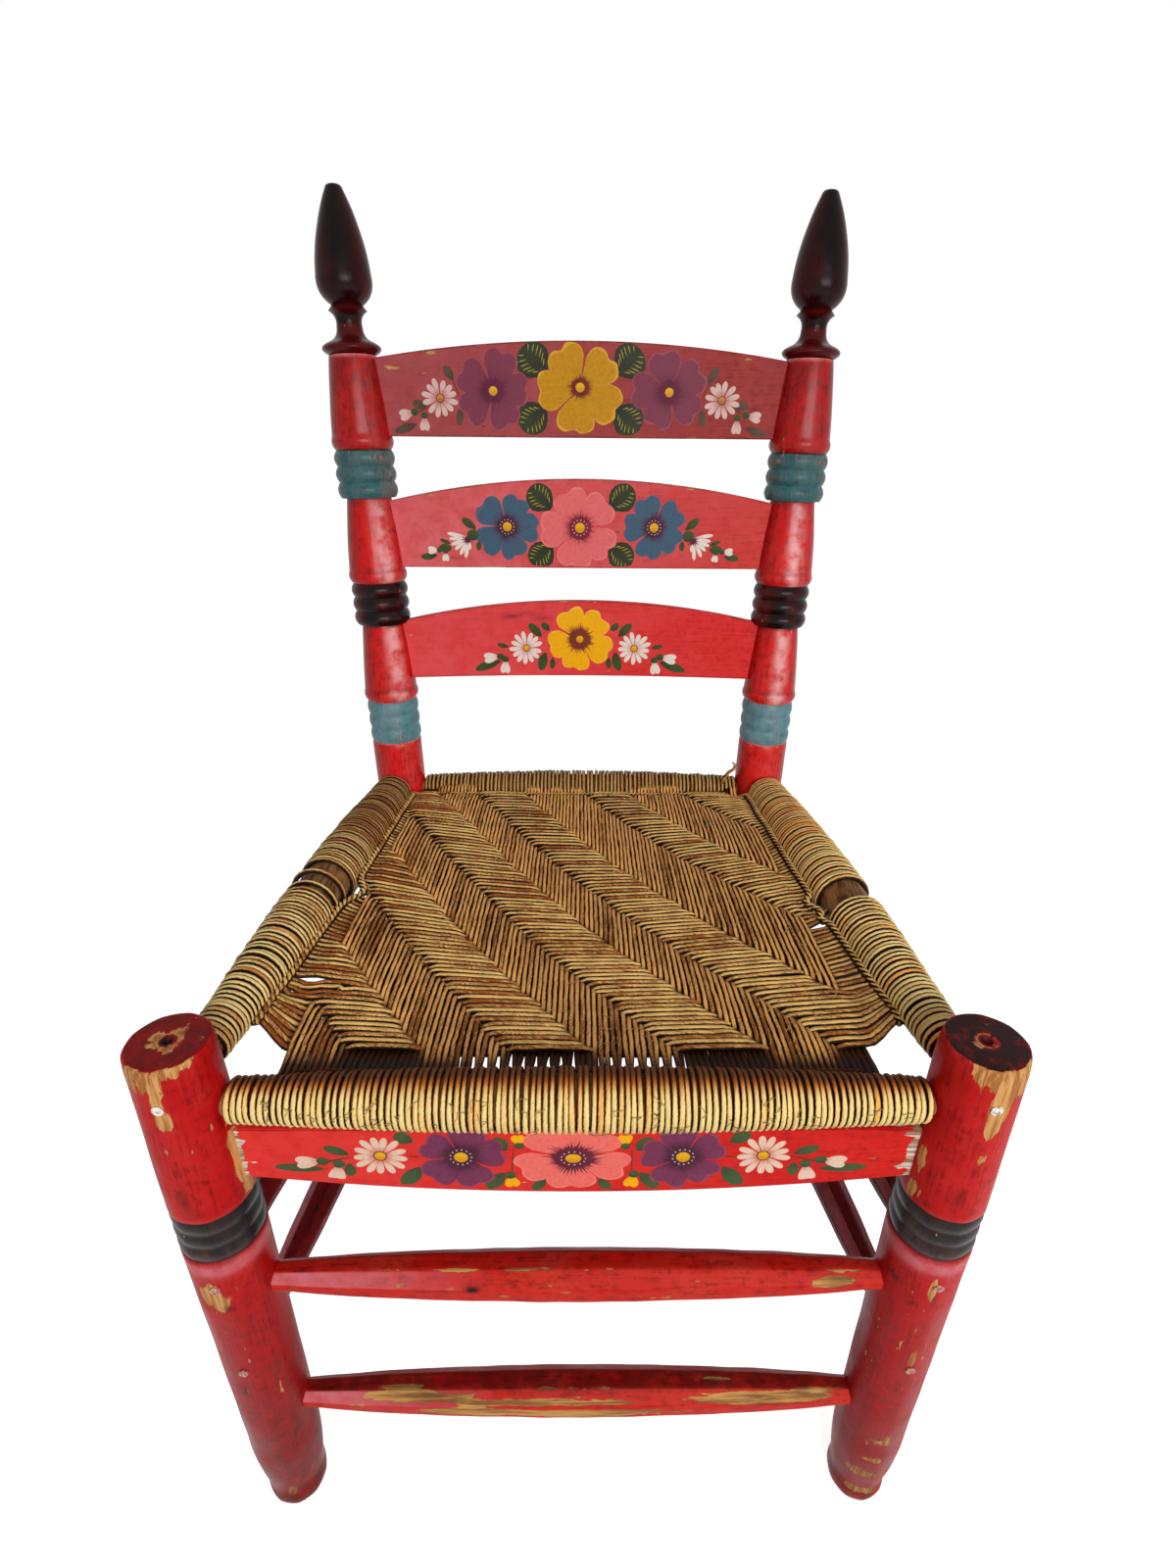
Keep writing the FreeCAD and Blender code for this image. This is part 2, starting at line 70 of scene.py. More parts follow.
# %% [markdown]
# ## Nodes
# Every material here is a small net of nodes. These helpers add a node, feed a socket with a number or with another
# node's output, and cover the few kinds that all the paints, woods and cords share.

# %% Helpers for nodes
def add_node(tree, kind, **settings):
    """A new node, with its settings."""
    made = tree.nodes.new("ShaderNode" + kind)
    for setting, value in settings.items():
        setattr(made, setting, value)
    return made


def feed(tree, socket, value):
    """Links an output to a socket, or writes a plain value there."""
    if isinstance(value, bpy.types.NodeSocket):
        tree.links.new(value, socket)
    else:
        socket.default_value = value


def calculate(tree, operation, *values):
    """One sum on numbers."""
    made = add_node(tree, "Math", operation=operation)
    for socket, value in zip(made.inputs, values):
        feed(tree, socket, value)
    return made.outputs[0]


def mixed(tree, factor, first, second):
    """Two colours mixed by a factor."""
    made = add_node(tree, "Mix", data_type="RGBA")
    for index, value in zip((0, 6, 7), (factor, first, second)):
        feed(tree, made.inputs[index], value)
    return made.outputs[2]


def mixed_value(tree, factor, first, second):
    """Two numbers mixed by a factor."""
    made = add_node(tree, "Mix", data_type="FLOAT")
    for index, value in zip((0, 2, 3), (factor, first, second)):
        feed(tree, made.inputs[index], value)
    return made.outputs[0]


def between(tree, value, low, high, start=0.0, end=1.0):
    """A value that turns smoothly from start to end while the input goes from low to high."""
    made = add_node(tree, "MapRange", interpolation_type="SMOOTHSTEP")
    for index, number in enumerate((value, low, high, start, end)):
        feed(tree, made.inputs[index], number)
    return made.outputs[0]


def stretched(tree, vector, scale):
    """Coordinates stretched along each axis."""
    made = add_node(tree, "VectorMath", operation="MULTIPLY")
    feed(tree, made.inputs[0], vector)
    feed(tree, made.inputs[1], scale)
    return made.outputs[0]


def cloudy(tree, vector, scale, detail=4.0, rough=0.6):
    """A cloudy value around one half."""
    made = add_node(tree, "TexNoise")
    for socket, value in (("Vector", vector), ("Scale", scale), ("Detail", detail), ("Roughness", rough)):
        feed(tree, made.inputs[socket], value)
    return made.outputs[0]


def attribute(tree, name, output="Fac"):
    """A value that the mesh keeps for each of its points."""
    return add_node(tree, "Attribute", attribute_name=name).outputs[output]


def tone(red, green, blue):
    """A colour named by its screen values from 0 to 255, as the linear colour that nodes work with."""
    def linear(value):
        value = value / 255
        return value / 12.92 if value <= 0.04045 else ((value + 0.055) / 1.055) ** 2.4
    return (linear(red), linear(green), linear(blue), 1.0)


def node_group(name, inputs, outputs):
    """An empty group with named sockets, and its input and output nodes."""
    group = bpy.data.node_groups.new(name, "ShaderNodeTree")
    for socket_name, kind, value in inputs:
        socket = group.interface.new_socket(socket_name, in_out="INPUT", socket_type="NodeSocket" + kind)
        if value is not None:
            socket.default_value = value
    for socket_name, kind in outputs:
        group.interface.new_socket(socket_name, in_out="OUTPUT", socket_type="NodeSocket" + kind)
    return group, group.nodes.new("NodeGroupInput").outputs, group.nodes.new("NodeGroupOutput").inputs


def placed(tree, group, **values):
    """A group placed in a material, its sockets fed by name."""
    made = add_node(tree, "Group", node_tree=group)
    for name, value in values.items():
        feed(tree, made.inputs[name], value)
    return made.outputs


def new_material(name, slot_colour, **settings):
    """A material with its Principled shader, whose settings are plain values on its own sockets."""
    material = bpy.data.materials.new(name)
    material.use_nodes = True
    material.diffuse_color = slot_colour
    shader = material.node_tree.nodes["Principled BSDF"]
    for setting, value in settings.items():
        shader.inputs[setting.replace("_", " ")].default_value = value
    return material, material.node_tree, shader.inputs


def bumped(tree, height, distance, strength=1.0):
    """A normal that a height has raised and sunk, by a distance in metres."""
    made = add_node(tree, "Bump")
    feed(tree, made.inputs["Height"], height)
    made.inputs["Distance"].default_value = distance
    made.inputs["Strength"].default_value = strength
    return made.outputs[0]


print("node helpers ready")

# %% [markdown]
# ## Floor and light
# The photograph shows the chair on white, lit from in front by a broad soft source, so that fronts are bright and
# tops are darker. The floor is one pale plane: for the camera it is white and glows a little, so that only the
# chair's soft shadow shows, and for bounced light it is a plain grey. One wide lamp stands behind the camera and an
# even sky fills the rest.

# %% Floor and light
FLOOR_SIZE = 40.0
FLOOR_GREY = 0.24
FLOOR_GLOW = 0.78
SKY_STRENGTH = 0.32
LAMP_POWER = 31.0
LAMP_WIDTH = 1.4
LAMP_HEIGHT = 0.8
LAMP_PLACE = (0.55, -1.9, 1.1)
LAMP_AIM = (0.0, -0.05, 0.5)


def seen_directly(tree):
    """1 for what the camera sees, straight, in a gloss or through glass, and 0 for bounced light."""
    path = add_node(tree, "LightPath").outputs
    seen = calculate(tree, "MAXIMUM", path["Is Camera Ray"], path["Is Glossy Ray"])
    return calculate(tree, "MAXIMUM", seen, path["Is Transmission Ray"])


floor_bm = bmesh.new()
bmesh.ops.create_grid(floor_bm, x_segments=4, y_segments=4, size=FLOOR_SIZE)
floor_mesh = bpy.data.meshes.new("floor")
floor_bm.to_mesh(floor_mesh)
floor_bm.free()
floor = bpy.data.objects.new("floor", floor_mesh)
bpy.context.scene.collection.objects.link(floor)

floor_material, floor_tree, floor_shader = new_material("floor_white", (0.9, 0.9, 0.9, 1.0), Roughness=1.0)
floor_shader["Specular IOR Level"].default_value = 0.0
grey = (FLOOR_GREY, FLOOR_GREY, FLOOR_GREY, 1.0)
white = (1.0, 1.0, 1.0, 1.0)
seen = seen_directly(floor_tree)
feed(floor_tree, floor_shader["Base Color"], mixed(floor_tree, seen, grey, white))
floor_shader["Emission Color"].default_value = white
feed(floor_tree, floor_shader["Emission Strength"], calculate(floor_tree, "MULTIPLY", seen, FLOOR_GLOW))
floor_mesh.materials.append(floor_material)

world = bpy.data.worlds.new("sky")
bpy.context.scene.world = world
world.use_nodes = True
sky = world.node_tree.nodes["Background"].inputs
sky["Color"].default_value = white
seen_sky = between(world.node_tree, seen_directly(world.node_tree), 0.0, 1.0, SKY_STRENGTH, 1.0)
feed(world.node_tree, sky["Strength"], seen_sky)

lamp_data = bpy.data.lights.new("wide_lamp", "AREA")
lamp_data.shape = "RECTANGLE"
lamp_data.size = LAMP_WIDTH
lamp_data.size_y = LAMP_HEIGHT
lamp_data.energy = LAMP_POWER
lamp = bpy.data.objects.new("wide_lamp", lamp_data)
lamp.location = LAMP_PLACE
lamp.rotation_euler = (Vector(LAMP_AIM) - Vector(LAMP_PLACE)).to_track_quat("-Z", "Y").to_euler()
bpy.context.scene.collection.objects.link(lamp)
print("lamp", LAMP_POWER, "watts, sky", SKY_STRENGTH)

# %% [markdown]
# ## Wear, brush marks and grain
# Hard use has rubbed the paint off the arrises and chipped it elsewhere, always a little longer along the grain. The
# pieces carry four attributes: "grain", the place within the piece with its last number along the wood, "wear",
# high on arrises and rubbed spots, one that darkens the paint, as dirt on scuffs and in grooves and as painted shade
# in grooves and on sides and tops turned from the light, and one that pales it, where the paint has faded and as a
# painted highlight on the vases and the front stretchers. One group turns wear into masks for every paint. An
# attribute stays with the surface, so a pattern can't slide.

# %% Group: worn paint
CHIP_STRETCH = (1.0, 1.0, 0.22)

worn_paint, given, result = node_group(
    "worn_paint",
    [("Grain", "Vector", None), ("Wear", "Float", 0.0), ("Chips", "Float", 0.5)],
    [("Bare", "Float"), ("Rubbed", "Float"), ("Scratch", "Float"), ("Height", "Float")],
)
along = stretched(worn_paint, given["Grain"], CHIP_STRETCH)
broad = cloudy(worn_paint, along, 75.0, 5.0, 0.62)
fine = cloudy(worn_paint, along, 420.0, 3.0, 0.6)
ragged = calculate(worn_paint, "SUBTRACT", broad, 0.5)
reach = calculate(worn_paint, "MULTIPLY_ADD", ragged, 2.6, given["Wear"])
reach = calculate(worn_paint, "MULTIPLY_ADD", calculate(worn_paint, "SUBTRACT", fine, 0.5), 0.7, reach)
rubbed_through = between(worn_paint, reach, 0.78, 0.86)
speck = cloudy(worn_paint, along, 260.0, 2.0, 0.5)
speck_field = cloudy(worn_paint, given["Grain"], 22.0, 2.0, 0.5)
speck_reach = calculate(worn_paint, "MULTIPLY_ADD", speck_field, 0.35, speck)
speck_limit = calculate(worn_paint, "MULTIPLY_ADD", given["Chips"], -0.16, 0.99)
chips = between(worn_paint, calculate(worn_paint, "SUBTRACT", speck_reach, speck_limit), 0.0, 0.02)
bare = calculate(worn_paint, "MAXIMUM", rubbed_through, chips)
nicks = cloudy(worn_paint, along, 330.0, 1.0, 0.4)
nick_field = cloudy(worn_paint, given["Grain"], 30.0, 2.0, 0.5)
nick_reach = calculate(worn_paint, "MULTIPLY_ADD", nick_field, 0.3, nicks)
feed(worn_paint, result["Scratch"], between(worn_paint, nick_reach, 0.97, 1.0))
feed(worn_paint, result["Bare"], bare)
feed(worn_paint, result["Rubbed"], between(worn_paint, reach, 0.25, 0.85))
feed(worn_paint, result["Height"], calculate(worn_paint, "SUBTRACT", 1.0, bare))
print("group", worn_paint.name)

# %% Group: brush marks and fading
brushed, given, result = node_group(
    "brushed",
    [("Grain", "Vector", None), ("Paint", "Color", None), ("Deep", "Color", None), ("Pale", "Color", None)],
    [("Color", "Color"), ("Height", "Float"), ("Cloud", "Float")],
)
streaks = cloudy(brushed, stretched(brushed, given["Grain"], (1.0, 1.0, 0.06)), 520.0, 3.0, 0.65)
clouds = cloudy(brushed, stretched(brushed, given["Grain"], (1.0, 1.0, 0.5)), 26.0, 4.0, 0.6)
mottle = cloudy(brushed, given["Grain"], 160.0, 4.0, 0.7)
colour = mixed(brushed, between(brushed, clouds, 0.42, 0.72), given["Paint"], given["Pale"])
depth = calculate(brushed, "MULTIPLY_ADD", streaks, 0.5, calculate(brushed, "MULTIPLY", mottle, 0.6))
colour = mixed(brushed, between(brushed, depth, 0.5, 0.76), colour, given["Deep"])
feed(brushed, result["Color"], colour)
feed(brushed, result["Height"], calculate(brushed, "MULTIPLY_ADD", mottle, 0.6, streaks))
feed(brushed, result["Cloud"], clouds)
print("group", brushed.name)

# %% Group: wood grain
wood_grain, given, result = node_group(
    "wood_grain",
    [("Grain", "Vector", None), ("Wood", "Color", None), ("Late wood", "Color", None)],
    [("Color", "Color"), ("Height", "Float")],
)
rings = cloudy(wood_grain, stretched(wood_grain, given["Grain"], (1.0, 1.0, 0.05)), 300.0, 4.0, 0.6)
pores = cloudy(wood_grain, stretched(wood_grain, given["Grain"], (1.0, 1.0, 0.03)), 1500.0, 2.0, 0.6)
lines_seen = between(wood_grain, calculate(wood_grain, "MULTIPLY_ADD", pores, 0.45, rings), 0.6, 0.86)
feed(wood_grain, result["Color"], mixed(wood_grain, lines_seen, given["Wood"], given["Late wood"]))
feed(wood_grain, result["Height"], pores)
print("group", wood_grain.name)

# %% [markdown]
# ## Paints
# Every paint is the same recipe: brushed colour, paler where it has faded and where a highlight is painted, darker
# where dirt has settled and where shade is painted, and wood where it is worn away, a little lower there, and
# rougher. Only the colours and the amounts differ, so one function makes them all.

# %% Paints
WOOD = tone(226, 170, 104)
LATE_WOOD = tone(166, 104, 54)
# The dark colour that both dirt and painted shade mix in
GRIME_AND_SHADE = tone(40, 14, 12)
# Pale pink for faded paint and for painted highlights
FADE_AND_SHEEN = tone(214, 112, 118)


def paint_material(name, paint, deep, pale, gloss, chips=0.5, wood=WOOD, late=LATE_WOOD, fade_and_sheen=FADE_AND_SHEEN, coat=0.0,
                   shine=0.09, mottled=(0.45, 0.85)):
    """A worn brush paint over wood."""
    material, tree, shader = new_material(name, paint, Coat_Weight=coat, Coat_Roughness=0.2,
                                          Specular_IOR_Level=shine)
    grain = attribute(tree, "grain", "Vector")
    masks = placed(tree, worn_paint, Grain=grain, Wear=attribute(tree, "wear"), Chips=chips)
    coats = placed(tree, brushed, Grain=grain, Paint=paint, Deep=deep, Pale=pale)
    timber = placed(tree, wood_grain, Grain=grain, Wood=wood, **{"Late wood": late})
    spread = cloudy(tree, grain, 90.0)
    # Darkening: dirt and scuffs, plus painted shade on sides and tops turned from the light
    darkened = calculate(tree, "MULTIPLY", attribute(tree, "dirt_and_shade"), between(tree, spread, 0.25, 0.6, 0.5, 0.9))
    darkened = calculate(tree, "MAXIMUM", darkened, calculate(tree, "MULTIPLY", masks["Scratch"], 0.6))
    colour = mixed(tree, calculate(tree, "MULTIPLY", masks["Rubbed"], 0.35), coats["Color"], pale)
    # Paler where the paint has faded, and as a painted highlight on the vases and front stretchers
    fade_and_sheen_share = calculate(tree, "MULTIPLY", attribute(tree, "fade_and_sheen"), between(tree, spread, 0.3, 0.65, *mottled))
    colour = mixed(tree, fade_and_sheen_share, colour, fade_and_sheen)
    colour = mixed(tree, darkened, colour, GRIME_AND_SHADE)
    timber = mixed(tree, calculate(tree, "MULTIPLY", darkened, 0.8), timber["Color"], GRIME_AND_SHADE)
    feed(tree, shader["Base Color"], mixed(tree, masks["Bare"], colour, timber))
    rough = between(tree, coats["Cloud"], 0.35, 0.7, gloss, gloss + 0.18)
    feed(tree, shader["Roughness"], mixed_value(tree, masks["Bare"], rough, 0.62))
    height = calculate(tree, "MULTIPLY_ADD", masks["Height"], 1.4, coats["Height"])
    feed(tree, shader["Normal"], bumped(tree, height, 0.00022, 0.8))
    return material


red = paint_material("red_paint", tone(190, 14, 14), tone(124, 8, 10), tone(198, 40, 38), 0.38, chips=0.45)
red_post = paint_material("red_post_paint", tone(224, 22, 20), tone(130, 8, 12), tone(220, 52, 50), 0.24, chips=0.25,
                          fade_and_sheen=tone(246, 166, 164), coat=0.12, shine=0.12, mottled=(0.1, 1.0))
black_band = paint_material("black_band", tone(26, 20, 20), tone(12, 9, 9), tone(92, 66, 58), 0.3, chips=0.45,
                            shine=0.12)
black_ring = paint_material("black_ring", tone(26, 12, 13), tone(10, 5, 6), tone(110, 26, 26), 0.22, chips=0.1,
                            coat=0.06, shine=0.1)
teal = paint_material("teal_ring", tone(50, 112, 112), tone(24, 54, 56), tone(126, 122, 112), 0.34, chips=0.4,
                      fade_and_sheen=tone(134, 182, 202), wood=tone(168, 148, 138), late=tone(108, 88, 82), coat=0.12)
finial_black = paint_material("finial_black", tone(16, 6, 7), tone(6, 3, 3), tone(76, 14, 16), 0.2, chips=0.1,
                              fade_and_sheen=tone(112, 11, 14), coat=0.04)
print("paints", [paint.name for paint in (red, red_post, black_band, black_ring, teal, finial_black)])

# %% [markdown]
# ## Turned uprights
# A leg or post is turned on a lathe from one blank. The same happens here: an outline of radii and heights is spun
# round the axis. The outline is a list of stretches, each with the place it ends at and how far it bulges on the way
# there. Where two stretches meet at an outer corner the paint wears first, and an inner corner is darkened, with
# dirt and painted shade, so both are worked out from the outline's own bends before it is spun.

# %% Outlines for turning
MM = 0.001


def turned_outline(start, stretches):
    """Points (radius, height) in millimetres along stretches of (radius, height, bulge share, steps)."""
    points = [start]
    for radius, height, bulge, steps in stretches:
        low = Vector(points[-1])
        high = Vector((radius, height))
        way = high - low
        side = Vector((way.y, -way.x))
        for index in range(1, steps + 1):
            share = index / steps
            spot = low + way * share + side * (4 * bulge * share * (1 - share))
            points.append((spot.x, spot.y))
    return points


def bend(points, index, reach):
    """How far an outline turns at a point, positive at outer corners, in radians."""
    before = Vector(points[max(index - reach, 0)])
    here = Vector(points[index])
    after = Vector(points[min(index + reach, len(points) - 1)])
    if (here - before).length == 0 or (after - here).length == 0:
        return 0.0
    return (here - before).angle_signed(after - here)


print("outline helper ready")

# %% Spinning an outline
TURN_STEPS = 64
OUTER_WEAR = 1.1
INNER_DARKENING = 1.6
MERGE_REACH = 0.00001


def spun(points):
    """A closed surface of revolution about Z from an outline that starts and ends on the axis."""
    bm = bmesh.new()
    worn = bm.verts.layers.float.new("wear")
    darkened = bm.verts.layers.float.new("dirt_and_shade")
    bm.verts.layers.float.new("fade_and_sheen")
    outline = [bm.verts.new((radius * MM, 0.0, height * MM)) for radius, height in points]
    for index, vert in enumerate(outline):
        turn = -bend(points, index, 1)
        vert[worn] = min(max(turn * OUTER_WEAR, 0.0), 1.0)
        # Inner corners darkened, with dirt and painted shade
        vert[darkened] = min(max(-turn * INNER_DARKENING, 0.0), 1.0)
    edges = [bm.edges.new(pair) for pair in zip(outline, outline[1:])]
    bmesh.ops.spin(bm, geom=outline + edges, cent=(0, 0, 0), axis=(0, 0, 1), angle=2 * math.pi,
                   steps=TURN_STEPS, use_merge=True)
    bmesh.ops.remove_doubles(bm, verts=bm.verts, dist=MERGE_REACH)
    bmesh.ops.recalc_face_normals(bm, faces=bm.faces)
    return bm


def uneven(bm, amount, size):
    """A slight unevenness from the hand and the gouge."""
    for vert in bm.verts:
        out = Vector((vert.co.x, vert.co.y, 0.0))
        if out.length > 0.001:
            vert.co += out.normalized() * noise.noise(vert.co / size) * amount


def keep_grain(bm):
    """Keeps each point's place within the piece, before the piece is set up in the chair."""
    kept = bm.verts.layers.float_vector.new("grain")
    for vert in bm.verts:
        vert[kept] = vert.co


def axis_turn(foot, top):
    """The turn and shift that set a piece made along Z onto a line."""
    turn = Vector((0, 0, 1)).rotation_difference(Vector(top) - Vector(foot))
    return Matrix.Translation(Vector(foot)) @ turn.to_matrix().to_4x4()


def sharpened(bm, limit):
    """Keeps edges crisp where two faces meet at more than a limit in degrees."""
    for edge in bm.edges:
        if len(edge.link_faces) == 2:
            edge.smooth = edge.calc_face_angle(0.0) < math.radians(limit)


def finish_piece(bm, name, materials, nodes):
    """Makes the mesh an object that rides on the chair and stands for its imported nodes."""
    for face in bm.faces:
        face.smooth = True
    mesh = bpy.data.meshes.new(name)
    bm.to_mesh(mesh)
    bm.free()
    for material in materials:
        mesh.materials.append(material)
    piece = bpy.data.objects.new(name, mesh)
    bpy.context.scene.collection.objects.link(piece)
    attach(piece, "root")
    if nodes:
        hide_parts(*nodes)
    print(name, len(mesh.polygons), "faces")
    return piece


print("lathe ready")

# %% [markdown]
# ## Front legs
# A leg swells from its small foot up to a black band of three low rings, then runs straight to a rounded top with
# the lathe centre's small hole. It leans a little outwards. Bare spots are listed by where they are on the leg: the
# way they face, their height and their size.

# %% Front leg outline
FRONT_Y = -195.615
LEG_HEIGHT = 445.0
LEG_FOOT_X = 212.4
LEG_TOP_X = 214.8
BAND_BOTTOM = 298.0
BAND_TOP = 332.0
LEG_RADIUS = 24.8
LEG_LOW_RADIUS = 23.8
LEG_LOW_HEIGHT = 90.0
UNDER_FLOOR = (0.0, -3.0)
FOOT_STRETCHES = [(10.5, -3.0, 0.0, 3), (20.3, 20.0, 0.16, 8), (20.6, 33.0, -0.04, 5)]


def ring_stretches(radius, groove, bottom, height, count):
    """Rounded rings, each a bulge between two grooves."""
    step = height / count
    bulge = groove / step
    return [(radius - groove, bottom + step * (index + 1), bulge, 8) for index in range(count)]


leg_points = turned_outline(UNDER_FLOOR, [
    *FOOT_STRETCHES,
    (LEG_LOW_RADIUS, LEG_LOW_HEIGHT, 0.02, 14),
    (LEG_RADIUS, 296.7, 0.0, 50),
    (23.5, BAND_BOTTOM, 0.0, 1),
    *ring_stretches(LEG_RADIUS, 1.3, BAND_BOTTOM, BAND_TOP - BAND_BOTTOM, 3),
    (LEG_RADIUS, 333.3, 0.0, 1),
    (22.9, 431.0, 0.0, 26),
    (22.3, 443.0, 0.02, 5),
    (20.3, LEG_HEIGHT, 0.2, 4),
    (3.2, LEG_HEIGHT, 0.0, 8),
    (0.0, 441.0, 0.0, 2),
])
print("leg outline", len(leg_points), "points")

# %% Front legs
LEG_DARKENING_REACH = 290.0
POST_DARKENING_REACH = 260.0
LEG_SPOTS = {
    "front_leg_left": [
        (-111, 443, 9, 8, 1.05), (-93, 441, 9, 11, 1.05), (-71, 443, 9, 6, 1.0), (-48, 444, 8, 4, 1.0),
        (-125, 438, 8, 10, 1.1), (-80, 445, 34, 1.6, 1.1), (-138, 424, 4, 24, 0.95), (-102, 434, 6, 14, 1.05),
        (-95, 424, 5, 12, 1.05), (-93, 411, 7, 9, 1.0), (-98, 390, 4, 6, 0.8), (-130, 284, 5, 6, 1.0),
        (-105, 268, 11, 13, 1.5), (-88, 262, 8, 10, 1.25), (-86, 181, 4, 3, 0.9), (-112, 118, 1.4, 20, 1.05),
        (-79, 30, 6, 10, 0.95), (-95, 3, 14, 8, 1.0), (-14, 376, 5, 12, 1.5), (-14, 356, 4.4, 14, 1.6),
        (-8, 341, 5, 9, 1.5),
    ],
    "front_leg_right": [
        (-122, 445, 10, 4, 1.0), (-103, 442, 12, 9, 1.4), (-84, 438, 12, 15, 1.6), (-60, 440, 12, 12, 1.6),
        (-88, 422, 7, 17, 1.5), (-90, 406, 6, 8, 1.2), (-88, 384, 3, 8, 0.95), (-98, 272, 3, 12, 1.25),
        (-100, 230, 2.5, 10, 1.25), (-92, 200, 3, 15, 1.2), (-88, 105, 3, 6, 0.95), (-100, 98, 8, 5, 1.0),
        (-102, 74, 10, 6, 1.15), (-108, 52, 16, 7, 1.35), (-108, 24, 15, 7, 1.3), (-159, 366, 4, 16, 1.1),
        (-162, 342, 4, 9, 1.1),
    ],
}

LEG_SCUFFS = {
    "front_leg_left": [
        (-80, 256, 4, 3, 1.2), (-92, 352, 1.2, 9, 1.3), (-96, 166, 1.3, 9, 1.0), (-70, 196, 1.2, 7, 0.9),
    ],
    "front_leg_right": [
        (-92, 262, 1.3, 5, 1.1), (-118, 256, 2.2, 2, 1.2), (-150, 268, 6, 2.4, 1.0), (-104, 350, 2, 8, 0.7),
    ],
}
TOP_FROM = 440.0
TOP_RADIUS = 20.8
CENTRE_HOLE = 3.6
TOP_PATCHES = {-1: (8.6, 1.3), 1: (6.6, 1.15)}
FADED_UNDER_BAND = 291.0


def top_marks(bm, side):
    """Painted shade darkens the top and the lathe centre's hole, round a bare patch by the hole."""
    patch_radius, patch_wear = TOP_PATCHES[side]
    worn = bm.verts.layers.float["wear"]
    darkened = bm.verts.layers.float["dirt_and_shade"]
    for vert in bm.verts:
        x, y, z = vert.co / MM
        if z < TOP_FROM:
            continue
        radius = math.hypot(x, y)
        if radius < TOP_RADIUS:
            # Painted shade: the top is darkened, the right leg's more
            vert[darkened] = 1.02 + 0.28 * side
            vert[worn] = min(vert[worn], 0.2)
            if radius < patch_radius + noise.noise(Vector((x / 7, y / 7, side))) * 4.5:
                vert[worn] = patch_wear
                vert[darkened] = 0.0
        # Painted shade in the centre hole
        if radius < CENTRE_HOLE:
            vert[worn] = -1.0
            vert[darkened] = 1.2


def darker_towards_foot(bm, reach, most):
    """Darkens the paint more and more towards the foot."""
    darkened = bm.verts.layers.float["dirt_and_shade"]
    for vert in bm.verts:
        up = max(0.0, 1.0 - vert.co.z / MM / reach)
        vert[darkened] = max(vert[darkened], most * up ** 0.8)


def faint_planes(bm, count, depth, phase):
    """The gouge has left faint flats along the leg."""
    for vert in bm.verts:
        out = Vector((vert.co.x, vert.co.y, 0.0))
        if out.length > 0.004:
            facing = math.atan2(vert.co.y, vert.co.x)
            vert.co -= out.normalized() * depth * MM * abs(math.sin(count / 2 * facing + phase))


def add_spots(bm, spots, layer="wear"):
    """Raises wear or dirt around spots given as facing (degrees), height, half width, half height and strength."""
    worn = bm.verts.layers.float[layer]
    for vert in bm.verts:
        radius = math.hypot(vert.co.x, vert.co.y) / MM
        facing = math.degrees(math.atan2(vert.co.y, vert.co.x))
        for spot_facing, height, half_width, half_height, strength in spots:
            turn = (facing - spot_facing + 180) % 360 - 180
            across = math.radians(turn) * radius / half_width
            up = (vert.co.z / MM - height) / half_height
            vert[worn] = max(vert[worn], strength * math.exp(-(across * across + up * up)))


def on_floor(bm):
    """Cuts off what reaches below the floor and closes the flat sole."""
    cut = bmesh.ops.bisect_plane(bm, geom=bm.verts[:] + bm.edges[:] + bm.faces[:], plane_co=(0, 0, 0),
                                 plane_no=(0, 0, 1), clear_inner=True)
    rim = [item for item in cut["geom_cut"] if isinstance(item, bmesh.types.BMEdge)]
    bmesh.ops.edgeloop_fill(bm, edges=rim)
    bmesh.ops.recalc_face_normals(bm, faces=bm.faces)


for name, side in (("front_leg_left", -1), ("front_leg_right", 1)):
    leg = spun(leg_points)
    uneven(leg, 0.00035, 0.03)
    faint_planes(leg, 9, 0.35, 0.4 * side)
    add_spots(leg, LEG_SPOTS[name])
    top_marks(leg, side)
    darker_towards_foot(leg, LEG_DARKENING_REACH, 0.78 - 0.1 * side)
    add_spots(leg, LEG_SCUFFS[name], "dirt_and_shade")
    pale_layer = leg.verts.layers.float["fade_and_sheen"]
    worn = leg.verts.layers.float["wear"]
    for vert in leg.verts:
        height = vert.co.z / MM
        vert[pale_layer] = 1.3 * math.exp(-((height - FADED_UNDER_BAND) / 5.0) ** 2)
        if BAND_BOTTOM - 9 < height < BAND_BOTTOM + 1 or BAND_TOP - 1 < height < BAND_TOP + 4:
            vert[worn] = min(vert[worn], 0.35)
    keep_grain(leg)
    for face in leg.faces:
        height = face.calc_center_median().z / MM
        face.material_index = 1 if BAND_BOTTOM < height < BAND_TOP else 0
    foot = Vector((side * LEG_FOOT_X, FRONT_Y, 0.0)) * MM
    top = Vector((side * LEG_TOP_X, FRONT_Y, LEG_HEIGHT)) * MM
    leg.transform(axis_turn(foot, top))
    on_floor(leg)
    sharpened(leg, 50)
    finish_piece(leg, name + "_turned", [red, black_band], [name])

# %% [markdown]
# ## Rear posts
# Each post is one blank from foot to finial tip: a plain shaft, then three times a stack of rings with a vase above
# it, then the collar, the pinched neck, the sharp disc and the flame. The rings are teal, black and teal again, and
# everything from the collar up is black, rubbed through to red. A painted highlight runs up a strip of each vase
# and painted shade darkens the sides. The red darkens towards the top, and the upper teal rings are darker than the
# lower.

